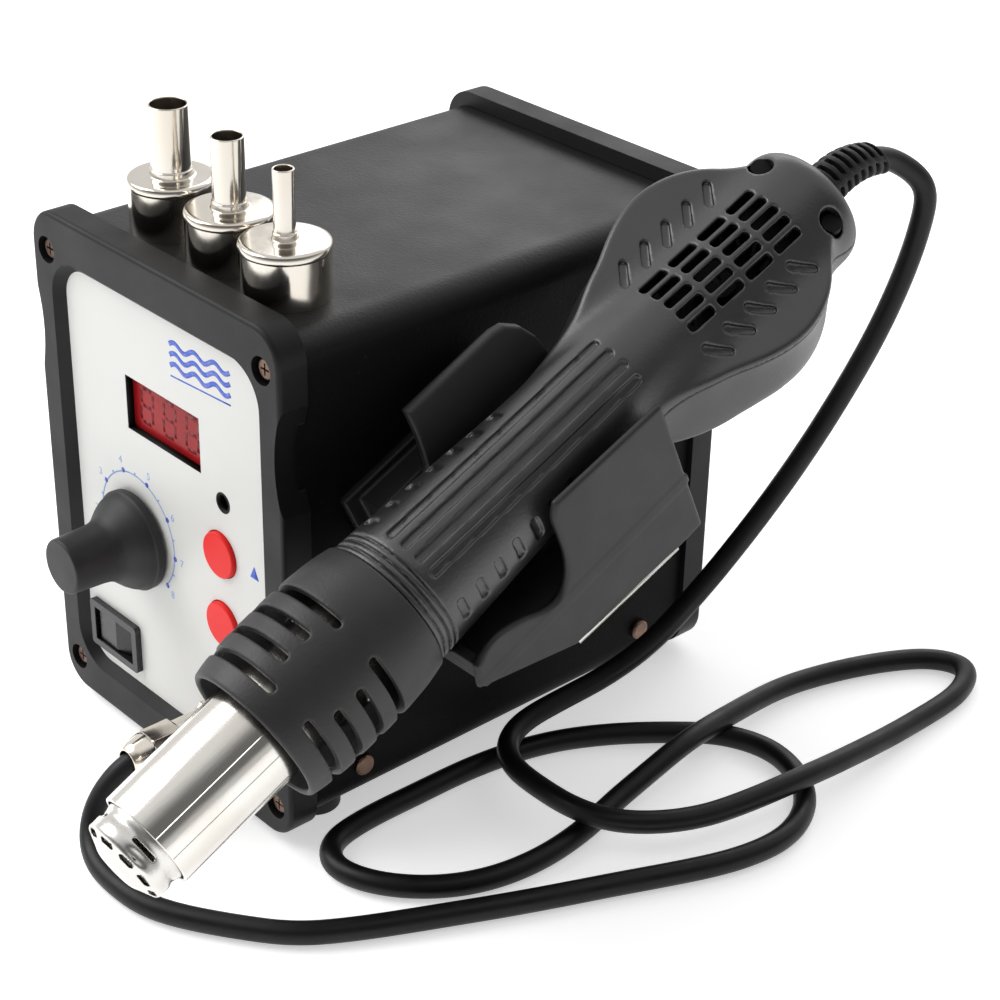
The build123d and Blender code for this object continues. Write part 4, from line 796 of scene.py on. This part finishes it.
def sweep(path, radius, segments):
    """A round tube along a path, with closed ends."""
    tangent = np.gradient(path, axis=0)
    tangent /= np.linalg.norm(tangent, axis=1)[:, None]
    side = unit(np.cross(tangent[0], (0.3, 0.2, 1.0)))
    rings = []
    angle = np.arange(segments) * 2 * math.pi / segments
    for point, t in zip(path, tangent):
        side = unit(side - t * (side @ t))
        other = np.cross(t, side)
        rings.append(point + radius * (np.cos(angle)[:, None] * side + np.sin(angle)[:, None] * other))
    count = len(rings)
    points = np.vstack(rings + [np.repeat(path[:1], segments, 0), np.repeat(path[-1:], segments, 0)])
    order = [count] + list(range(count)) + [count + 1]
    faces = []
    j = np.arange(segments)
    k = (j + 1) % segments
    for a, b in zip(order, order[1:]):
        faces.append(np.stack([a * segments + j, a * segments + k, b * segments + k, b * segments + j], 1))
    return points, np.concatenate(faces)


# ---- holder ----
def polygon_distance(x, y, corners):
    """Signed distance to a polygon, inside negative."""
    corners = np.array(corners, float)
    best = np.full(x.shape, 1e9)
    inside = np.zeros(x.shape, bool)
    for (ax, ay), (bx, by) in zip(corners, np.roll(corners, -1, 0)):
        ex, ey = bx - ax, by - ay
        t = np.clip(((x - ax) * ex + (y - ay) * ey) / (ex * ex + ey * ey), 0, 1)
        best = np.minimum(best, (x - ax - t * ex) ** 2 + (y - ay - t * ey) ** 2)
        spans = (ay > y) != (by > y)
        inside ^= spans & (x < ax + (y - ay) * ex / (ey if ey else 1e-9))
    return np.where(inside, -1.0, 1.0) * np.sqrt(best)


def box_distance(x, y, z, low, high):
    centre = [(a + b) / 2 for a, b in zip(low, high)]
    half = [(b - a) / 2 for a, b in zip(low, high)]
    q = [np.abs(v - c) - h for v, c, h in zip((x, y, z), centre, half)]
    return np.maximum(np.maximum(q[0], q[1]), q[2])


CRADLE_HALF = 20.0
CHEEK_SWEEP = [(75.4, -19.4), (77.3, -13.8), (83.9, -10.9), (92, -13.0), (98.5, -16.4), (103, -16.8), (106.4, -13.6)]
CHEEK_SWEEP += [(108.3, -8.6), (109.0, -2), (109.5, 3.8), (111.6, 6.9)]
CHEEK_REST = [(146.3, 5.5), (145.2, -34.9), (139.7, -35.1), (101.9, -33.1)]
PRONG = [(91, -20), (146, -20), (146.4, 4), (145.8, 9.4), (144, 13.4), (141, 15.8), (137.6, 16.4), (109, 16.4)]
PRONG += [(105.5, 4), (96, -8)]


def gun_holder():
    """The cradle: outer cheek, floor, front lip, round-topped inner prong and the arm to the wall."""
    wall = low_high("gun_holder")[0][0] - GUN_ORIGIN[0]
    sweep_edge = through(np.array([(s, h, 0.0) for s, h in CHEEK_SWEEP]), 1.5)[:, :2]
    outline = [tuple(p) for p in sweep_edge] + CHEEK_REST

    def field(s, x, h):
        cheek = smooth_max(polygon_distance(s, h, outline), np.abs(x - CRADLE_HALF + 1.0) - 1.0, 1.1)
        floor = box_distance(s, x, h, (77.4, -CRADLE_HALF, -20), (146, CRADLE_HALF - 0.2, -18))
        lip = box_distance(s, x, h, (77.4, -CRADLE_HALF, -20), (79.8, CRADLE_HALF - 0.2, -13.6))
        lip = np.maximum(lip, 17.6 - np.hypot(x, h))
        lean = 0.022 * np.maximum(h - 1.0, 0) ** 2
        prong = smooth_max(polygon_distance(s, h, PRONG), np.abs(x + CRADLE_HALF - 1.2 + lean) * 0.9 - 1.3, 0.8)
        arm = box_distance(s, x, h, (92, wall + 1.5, -16), (138, -CRADLE_HALF - 2.5, 0))
        plate = box_distance(s, x, h, (88, wall, -18), (142, wall + 2.5, 2))
        inner = smooth_min(smooth_min(prong, arm, 0.8), plate, 0.8)
        tray = smooth_min(smooth_min(floor, lip, 0.8), inner, 0.8)
        return smooth_min(tray, cheek, 0.8)

    points, faces = surface(field, (73.5, wall - 0.7, -37), (148, CRADLE_HALF + 1.2, 18), 0.5)
    return to_row(points, GUN_ORIGIN, HOLDER_AXES), faces


def painted_edge_glint():
    """A bright metal strip along the cheek's lower edge: a painted glint."""
    line = np.array([(102.6, -33.15), (120.0, -34.1), (136.4, -34.9)])
    rows = []
    for dx, dh in ((0.12, 0.75), (0.12, -0.12), (-0.8, -0.12), (-0.8, 0.75)):
        rows.append(np.stack([line[:, 0], np.full(3, CRADLE_HALF + dx), line[:, 1] + dh], 1))
    points, faces = prism_rows(rows)
    return to_row(points, GUN_ORIGIN, HOLDER_AXES), faces


# ---- nozzles, knob and gland ----
NOZZLES = (("nozzle_large", "large_nozzle", 4.9), ("nozzle_medium", "medium_nozzle", 4.0), ("nozzle_small", "small_nozzle", 2.6))
STANDING = np.array([(0.0, 0.0, 1.0), (1.0, 0.0, 0.0), (0.0, 1.0, 0.0)])
FACING = np.array([(0.0, -1.0, 0.0), (0.0, 0.0, 1.0), (-1.0, 0.0, 0.0)])


def nozzle(node, tube):
    """A pressed cup with a rolled shoulder bead, a collar and its outlet tube, all of thin sheet."""
    low, high = low_high(node)
    centre = (low + high) / 2
    base = np.array([centre[0], centre[1], low[2]])
    top = high[2] - low[2]
    cup = 13.8
    outer = [(0, 10.8), (cup - 2.2, 10.8), (cup - 1.9, 11.0), (cup - 1.1, 11.0), (cup - 0.3, 10.7)]
    outer += [(cup, 9.9), (cup + 0.05, tube + 1.0), (cup + 0.2, tube + 0.4), (cup + 1.7, tube + 0.3)]
    outer += [(cup + 1.9, tube), (top, tube), (top, tube - 0.5), (cup - 0.5, tube - 0.5), (cup - 0.5, 9.6)]
    outer += [(cup - 1.3, 10.3), (0, 10.25), (0, 10.75)]
    rim = round_profile(outer, 0.35, 5)

    def dimple(d, angle):
        away = (angle + math.pi) % (2 * math.pi) - math.pi
        return -0.6 * np.exp(-(((d - 1.9) / 1.0) ** 2) - ((away + 0.43) * 11 / 1.1) ** 2)

    return lathe(rim, base, STANDING, dimple, 200)


def knob():
    """Skirt, domed shoulder and slim grip."""
    base = np.array([KNOB_AT[0], KNOB_AT[1], KNOB_AT[2]])
    outline = [(4.2, 0.01), (4.2, 6.5), (0.7, 6.6), (0.7, 13.2), (3.0, 13.3), (3.3, 12.9), (4.9, 12.3), (6.6, 11.2)]
    outline += [(8.2, 9.8), (9.6, 8.6), (11.2, 7.9), (13.5, 7.6), (22.5, 7.25), (23.0, 6.9), (23.0, 0.01)]
    return lathe(round_profile(outline, 0.6, 5), base, FACING)


def gland():
    """Hexagon flange, plain sleeve and a clamping dome that narrows to the cable."""
    low, high = low_high("cable_gland")
    centre = (low + high) / 2
    base = np.array([centre[0], KNOB_AT[1], centre[2]])
    length = base[1] - low[1]
    outline = [(-6, 3.2), (-6, 4.6), (0.05, 4.6), (0.05, 6.0), (3.4, 6.0), (3.7, 5.0), (length - 14.5, 5.0)]
    outline += [(length - 14.2, 5.7), (length - 6.2, 5.7), (length - 5.0, 5.5), (length - 1.6, 4.6)]
    outline += [(length - 0.4, 3.9), (length, 3.6), (length, 3.1), (-6, 3.1)]
    rim = round_profile(outline, 0.5, 5)

    def flats(d, angle):
        """Six flats on the flange and on the cap."""
        sixth = (angle + math.pi / 6) % (math.pi / 3) - math.pi / 6
        flat = 1 / np.cos(sixth) - 1.077
        flange = (d > 0.1) & (d < 3.5)
        cap = (d > length - 14.3) & (d < length - 6.1)
        return np.where(flange, flat * 6.0, 0) + np.where(cap, flat * 4.2, 0)

    return lathe(closed(rim), base, FACING, flats, 360)


# ---- print on the panel ----
def panel_face():
    """The panel's outer plane."""
    return KNOB_AT[1] - 0.0


def ribbon(points, width, thick, closed_loop=False):
    """A thin raised strip on the panel along (x, z) points."""
    path = np.array(points, float)
    if closed_loop:
        path = np.vstack([path, path[:1]])
    tangent = np.gradient(path, axis=0)
    tangent /= np.maximum(np.linalg.norm(tangent, axis=1), 1e-9)[:, None]
    normal = np.stack([-tangent[:, 1], tangent[:, 0]], 1) * width / 2
    y0, y1 = panel_face() - thick, panel_face() + 0.3
    rows = []
    for offset, y in ((normal, y0), (-normal, y0), (-normal, y1), (normal, y1)):
        spots = path + offset
        rows.append(np.stack([spots[:, 0], np.full(len(path), y), spots[:, 1]], 1))
    return prism_rows(rows)


def prism_rows(rows):
    """Points and faces of a bar given as four long edges."""
    count = len(rows[0])
    points = np.vstack(rows)
    faces = []
    i = np.arange(count - 1)
    for a in range(4):
        b = (a + 1) % 4
        faces.append(np.stack([a * count + i, b * count + i, b * count + i + 1, a * count + i + 1], 1))
    ends = [[0, 3 * count, 2 * count, count], [count - 1, 2 * count - 1, 3 * count - 1, 4 * count - 1]]
    return points, np.concatenate(faces + [np.array(ends)])


def joined(shapes):
    """Several (points, faces) shapes as one."""
    points, faces, start = [], [], 0
    for p, f in shapes:
        points.append(p)
        faces.append(f + start)
        start += len(p)
    return np.vstack(points), np.concatenate(faces)


def arc_points(centre, radius, start, end, count):
    turn = np.radians(np.linspace(start, end, count))
    return np.stack([centre[0] + radius * np.sin(turn), centre[1] + radius * np.cos(turn)], 1)


DIAL_RADIUS = 15.75
DIAL_SPAN = 132.0
DIAL_MARKS = 8


def dial_print():
    """The dial: a fine arc with a dot at each number and a tick between."""
    centre = (KNOB_AT[0], KNOB_AT[2] + 2.0)
    arc = ribbon(arc_points(centre, DIAL_RADIUS, -DIAL_SPAN, DIAL_SPAN, 90), 0.4, 0.03)
    ticks, dots = [], []
    for mark in range(2 * DIAL_MARKS - 1):
        turn = -DIAL_SPAN + mark * DIAL_SPAN / (DIAL_MARKS - 1)
        if mark % 2:
            spot = arc_points(centre, DIAL_RADIUS + 0.5, turn, turn, 1)[0]
            ticks.append(ribbon([spot + (0, 0.25), spot, spot - (0, 0.25)], 0.6, 0.035))
        else:
            spot = arc_points(centre, DIAL_RADIUS + 0.3, turn, turn, 1)[0]
            dots.append(disc_on_panel(spot, 0.72))
    return joined([arc] + ticks), joined(dots)


def disc_on_panel(spot, radius, sides=20):
    """A thin printed dot."""
    turn = np.arange(sides + 1) * 2 * math.pi / sides
    edge = np.stack([spot[0] + radius * np.cos(turn), spot[1] + radius * np.sin(turn)], 1)
    middle = np.repeat(np.array([spot]), sides + 1, 0)
    y0, y1 = panel_face() - 0.04, panel_face() + 0.3
    rows = []
    for line, y in ((edge, y0), (middle, y0), (middle, y1), (edge, y1)):
        rows.append(np.stack([line[:, 0], np.full(len(line), y), line[:, 1]], 1))
    points, faces = prism_rows(rows)
    return points, faces


def flat_text(name, text, size, spot, material, body="station"):
    """A printed figure, centred on a panel spot."""
    letters = bpy.data.curves.new(name, "FONT")
    letters.body = text
    letters.size = size * MM
    letters.align_x, letters.align_y = "CENTER", "CENTER"
    letters.extrude = 0.03 * MM
    holder = bpy.data.objects.new(name + "_curve", letters)
    bpy.context.scene.collection.objects.link(holder)
    holder.matrix_world = Matrix.Translation(Vector((spot[0], panel_face(), spot[1])) * MM) @ Matrix.Rotation(
        math.radians(90), 4, "X"
    )
    bpy.context.view_layer.update()
    evaluated = holder.evaluated_get(bpy.context.evaluated_depsgraph_get())
    mesh = bpy.data.meshes.new_from_object(evaluated)
    mesh.transform(holder.matrix_world)
    bpy.data.objects.remove(holder)
    mesh.materials.clear()
    mesh.materials.append(material)
    thing = bpy.data.objects.new(name, mesh)
    bpy.context.scene.collection.objects.link(thing)
    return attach(thing, body)


def panel_prints():
    arc, dots = dial_print()
    make_mesh("dial_scale", *arc, PALE_INK, "station", smooth=False)
    make_mesh("dial_dots", *dots, BLUE_INK, "station", smooth=False)
    centre = (KNOB_AT[0], KNOB_AT[2] + 2.0)
    for mark in range(DIAL_MARKS):
        turn = -DIAL_SPAN + mark * 2 * DIAL_SPAN / (DIAL_MARKS - 1)
        spot = arc_points(centre, DIAL_RADIUS + 3.1, turn, turn, 1)[0]
        flat_text(f"dial_number_{mark + 1}", str(mark + 1), 2.9, spot, PALE_INK)
    waves = []
    for line in range(3):
        x = np.linspace(4.0, 28.0, 70)
        z = 122.6 - line * 2.8 + 0.06 * (x - 16.0) + 0.8 * np.sin((x - 4.0) * 2 * math.pi / 8.0)
        waves.append(ribbon(np.stack([x, z], 1), 1.25, 0.03))
    rule = np.stack([np.linspace(4.0, 28.0, 8), np.linspace(113.6, 115.0, 8)], 1)
    waves.append(ribbon(rule, 0.45, 0.03))
    make_mesh("air_waves_mark", *joined(waves), BLUE_INK, "station", smooth=False)
    low, high = low_high("temperature_up_button")
    x, z = high[0] + 6.4, (low[2] + high[2]) / 2 + 1.0
    arrow_up = triangle(x, z, 1.7, 1)
    low, high = low_high("temperature_down_button")
    arrow_down = triangle(x, (low[2] + high[2]) / 2 + 1.0, 1.7, -1)
    make_mesh("arrow_marks", *joined([arrow_up, arrow_down]), BLUE_INK, "station", smooth=False)


def triangle(x, z, half, way):
    """A solid arrowhead printed beside a button."""
    steps = np.linspace(0, 1, 6)
    left = np.stack([x - half * (1 - steps), z - way * half + way * 2 * half * steps], 1)
    right = np.stack([x + half * (1 - steps), z - way * half + way * 2 * half * steps], 1)
    y0, y1 = panel_face() - 0.04, panel_face() + 0.3
    rows = []
    for line, y in ((left, y0), (right, y0), (right, y1), (left, y1)):
        rows.append(np.stack([line[:, 0], np.full(len(line), y), line[:, 1]], 1))
    return prism_rows(rows)


def display_digits():
    """Unlit seven-segment figures seen through the window."""
    low, high = low_high("display_window")
    x0, z0 = (low[0] + high[0]) / 2, (low[2] + high[2]) / 2
    y = low[1] - 0.02
    bars = []
    for digit in (-1, 0, 1):
        for dx, dz, wide, tall in segments():
            bars.append(bar(x0 + digit * 9.4 + dx + 0.08 * dz, z0 + dz, wide, tall, y))
    make_mesh("display_digits", *joined(bars), DIGIT, "station", smooth=False)


WINDOW_LAP = 2.0


def opening_painted_shade():
    """Dark sheets in the window's and the trimmer's openings: painted shade in their reveals."""
    low, high = low_high("display_window")
    y0, y1 = panel_face() + 0.05, low[1] - 0.02
    lap = WINDOW_LAP + 0.02
    x0, x1, z0, z1 = low[0] + lap, high[0] - lap, low[2] + lap, high[2] - lap
    plates = []
    for a, b, c, d in ((x0, z0, x0, z1), (x0, z1, x1, z1), (x1, z1, x1, z0), (x1, z0, x0, z0)):
        plates.append(shade_plate((a, b), (c, d), (x0 + x1) / 2, (z0 + z1) / 2, y0, y1))
    low, high = low_high("cal_trimmer")
    x, z = (low[0] + high[0]) / 2, (low[2] + high[2]) / 2
    tube = [(0.05, 2.75), (0.05, 2.1), (-2.0, 2.1), (-2.0, 2.35), (-0.05, 2.35), (-0.05, 2.75), (0.05, 2.75)]
    plates.append(lathe(tube, (x, panel_face(), z), FACING, segments=48))
    plates.append(lathe([(-1.9, 2.2), (-1.9, 0.01), (-2.1, 0.01), (-2.1, 2.2), (-1.9, 2.2)], (x, panel_face(), z), FACING, segments=48))
    # painted shade: dark sheets stand in for the shade inside the openings
    make_mesh("opening_painted_shade", *joined(plates), INNER_BLACK, "station", smooth=False)


def shade_plate(start, end, middle_x, middle_z, y0, y1):
    """A thin dark plate along one side of an opening, on its inner face: painted shade."""
    ends = np.array([start, end], float)
    inward = np.sign([middle_x - ends[:, 0].mean(), middle_z - ends[:, 1].mean()]) * 0.12
    inward = inward * (np.abs(ends[0] - ends[1]) < 0.01)
    rows = []
    for push, y in ((0, y0), (1, y0), (1, y1), (0, y1)):
        spots = ends + push * inward
        rows.append(np.stack([spots[:, 0], np.full(2, y), spots[:, 1]], 1))
    return prism_rows(rows)


def segments():
    """The seven bars of one figure: offset, width and height."""
    flat = [(0, dz, 3.4, 0.9) for dz in (-4.6, 0, 4.6)]
    upright = [(dx, dz, 0.9, 3.4) for dx in (-2.4, 2.4) for dz in (-2.3, 2.3)]
    return flat + upright


def bar(x, z, wide, tall, y):
    """A thin bar on the window's face."""
    xs = np.array([x - wide / 2, x + wide / 2])
    rows = []
    for dz, dy in ((tall / 2, y), (-tall / 2, y), (-tall / 2, y + 0.2), (tall / 2, y + 0.2)):
        rows.append(np.stack([xs, np.full(2, dy), np.full(2, z + dz)], 1))
    return prism_rows(rows)


# ---- build ----
def build_gun():
    make_mesh("handle_upper_half", *handle_shell(1), HANDLE, "gun", ["upper_shell"])
    make_mesh("handle_lower_half", *handle_shell(-1), HANDLE, "gun", ["lower_shell"])
    make_mesh("slotted_heat_guard", *heat_guard(), GUARD, "gun", ["heat_guard"])
    make_mesh("barrel", *barrel(), BARREL, "gun", ["barrel_tube"])
    make_mesh("barrel_nose", *barrel_tip(), TIP, "gun", ["barrel_tip"])
    make_mesh("bend_protector", *strain_relief(), FOOT, "gun", ["strain_relief"])


def build_station():
    make_mesh("gun_cradle", *gun_holder(), HOLDER, "station", ["gun_holder"])
    make_mesh("airflow_dial_knob", *knob(), KNOB, "knob", ["airflow_knob"])
    make_mesh("cable_entry", *gland(), GLAND, "station", ["cable_gland"])
    for node, body, tube in NOZZLES:
        make_mesh(node + "_pressing", *nozzle(node, tube), NICKEL, body, [node])
    # painted highlight: a bright metal strip stands in for the glint on the cheek's lower edge
    make_mesh("cradle_bare_edge", *painted_edge_glint(), TIP, "station", smooth=False)
    panel_prints()
    display_digits()
    # painted shade in the display window's and the trimmer's openings
    opening_painted_shade()


def build_cable():
    """The cable runs on the bench from the station and rises to the gun at its top; it rides on neither body."""
    path = eased(through(cable_route(), 1.2), 16)
    cable = make_mesh("gun_cable", *sweep(path, CABLE_R, 28), CABLE, None)
    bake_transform(cable)
    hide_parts("handle_cable")


# ---- light, floor and camera ----
def area_light(name, place, aim, size, power, colour=(1, 1, 1)):
    light = bpy.data.lights.new(name, "AREA")
    light.shape = "RECTANGLE"
    light.size, light.size_y = size
    light.energy = power
    light.color = colour
    lamp = bpy.data.objects.new(name, light)
    bpy.context.scene.collection.objects.link(lamp)
    lamp.location = place
    lamp.rotation_euler = (Vector(aim) - Vector(place)).to_track_quat("-Z", "Y").to_euler()


def sky(world):
    """Bright white above, behind and to the left; dark over the right shoulder; pale along the horizon."""
    tree = world.node_tree
    background = tree.nodes["Background"]
    place = tree.nodes.new("ShaderNodeTexCoord")

    def dot(direction):
        node = tree.nodes.new("ShaderNodeVectorMath")
        node.operation = "DOT_PRODUCT"
        tree.links.new(place.outputs["Generated"], node.inputs[0])
        node.inputs[1].default_value = direction
        return node.outputs["Value"]

    def step(source, low, high, to_low, to_high):
        node = tree.nodes.new("ShaderNodeMapRange")
        node.interpolation_type = "SMOOTHSTEP"
        for key, value in (("From Min", low), ("From Max", high), ("To Min", to_low), ("To Max", to_high)):
            node.inputs[key].default_value = value
        tree.links.new(source, node.inputs["Value"])
        return node.outputs[0]

    bright = step(dot(tuple(unit((-0.6, 0.35, 0.7)))), 0.0, 0.5, 0.16, 0.85)
    horizon = step(dot((0.0, 0.0, 1.0)), 0.10, 0.32, 0.62, 0.0)
    strongest = tree.nodes.new("ShaderNodeMath")
    strongest.operation = "MAXIMUM"
    tree.links.new(bright, strongest.inputs[0])
    tree.links.new(horizon, strongest.inputs[1])
    tree.links.new(strongest.outputs[0], background.inputs["Strength"])
    background.inputs["Color"].default_value = (1, 1, 1, 1)


def studio():
    """Plain pale floor, soft light from above and the left, a little from the front."""
    floor_mesh = bpy.data.meshes.new("floor")
    reach = 6.0
    floor_mesh.from_pydata([(-reach, -reach, 0), (reach, -reach, 0), (reach, reach, 0), (-reach, reach, 0)], [], [(0, 1, 2, 3)])
    floor = bpy.data.objects.new("floor", floor_mesh)
    bpy.context.scene.collection.objects.link(floor)
    s = Shader("floor paper")
    s.set("Base Color", s.mix(s.levels(s.noise(3.0), 0.3, 0.7, 0, 1), (0.90, 0.90, 0.90), (0.92, 0.92, 0.92)))
    s.set("Roughness", 0.9)
    s.set("Specular IOR Level", 0.1)
    s.set("Emission Color", (1.0, 1.0, 1.0))
    s.set("Emission Strength", 0.50)
    floor_mesh.materials.append(s.material)
    world = bpy.data.worlds.new("studio")
    bpy.context.scene.world = world
    world.use_nodes = True
    sky(world)
    aim = (0.03, -0.02, 0.08)
    area_light("key", (-0.60, -0.50, 0.80), aim, (0.8, 0.8), 7.0)
    area_light("back", (-0.45, 0.80, 0.70), aim, (0.9, 0.5), 2.5)
    bpy.context.scene.view_settings.view_transform = "Standard"
    bpy.context.scene.view_settings.look = "None"


def camera():
    """The viewing angle: from the front right, a little above."""
    data = bpy.data.cameras.new("camera")
    data.sensor_width = 36.0
    data.lens = 83.53
    data.shift_x = 0.0357
    data.shift_y = -0.0072
    data.clip_start = 0.01
    eye = bpy.data.objects.new("camera", data)
    bpy.context.scene.collection.objects.link(eye)
    turn, tilt, roll = math.radians(48.34), math.radians(29.34), math.radians(0.81)
    back = Vector((math.sin(turn) * math.cos(tilt), -math.cos(turn) * math.cos(tilt), math.sin(tilt)))
    right = Vector((math.cos(turn), math.sin(turn), 0))
    up = back.cross(right)
    tilted_right = math.cos(roll) * right + math.sin(roll) * up
    tilted_up = -math.sin(roll) * right + math.cos(roll) * up
    matrix = Matrix((tilted_right, tilted_up, back)).transposed().to_4x4()
    matrix.translation = Vector((0.4164, -0.3431, 0.3584))
    eye.matrix_world = matrix
    bpy.context.scene.camera = eye


dress_cad()
build_gun()
build_station()
build_cable()
studio()
camera()
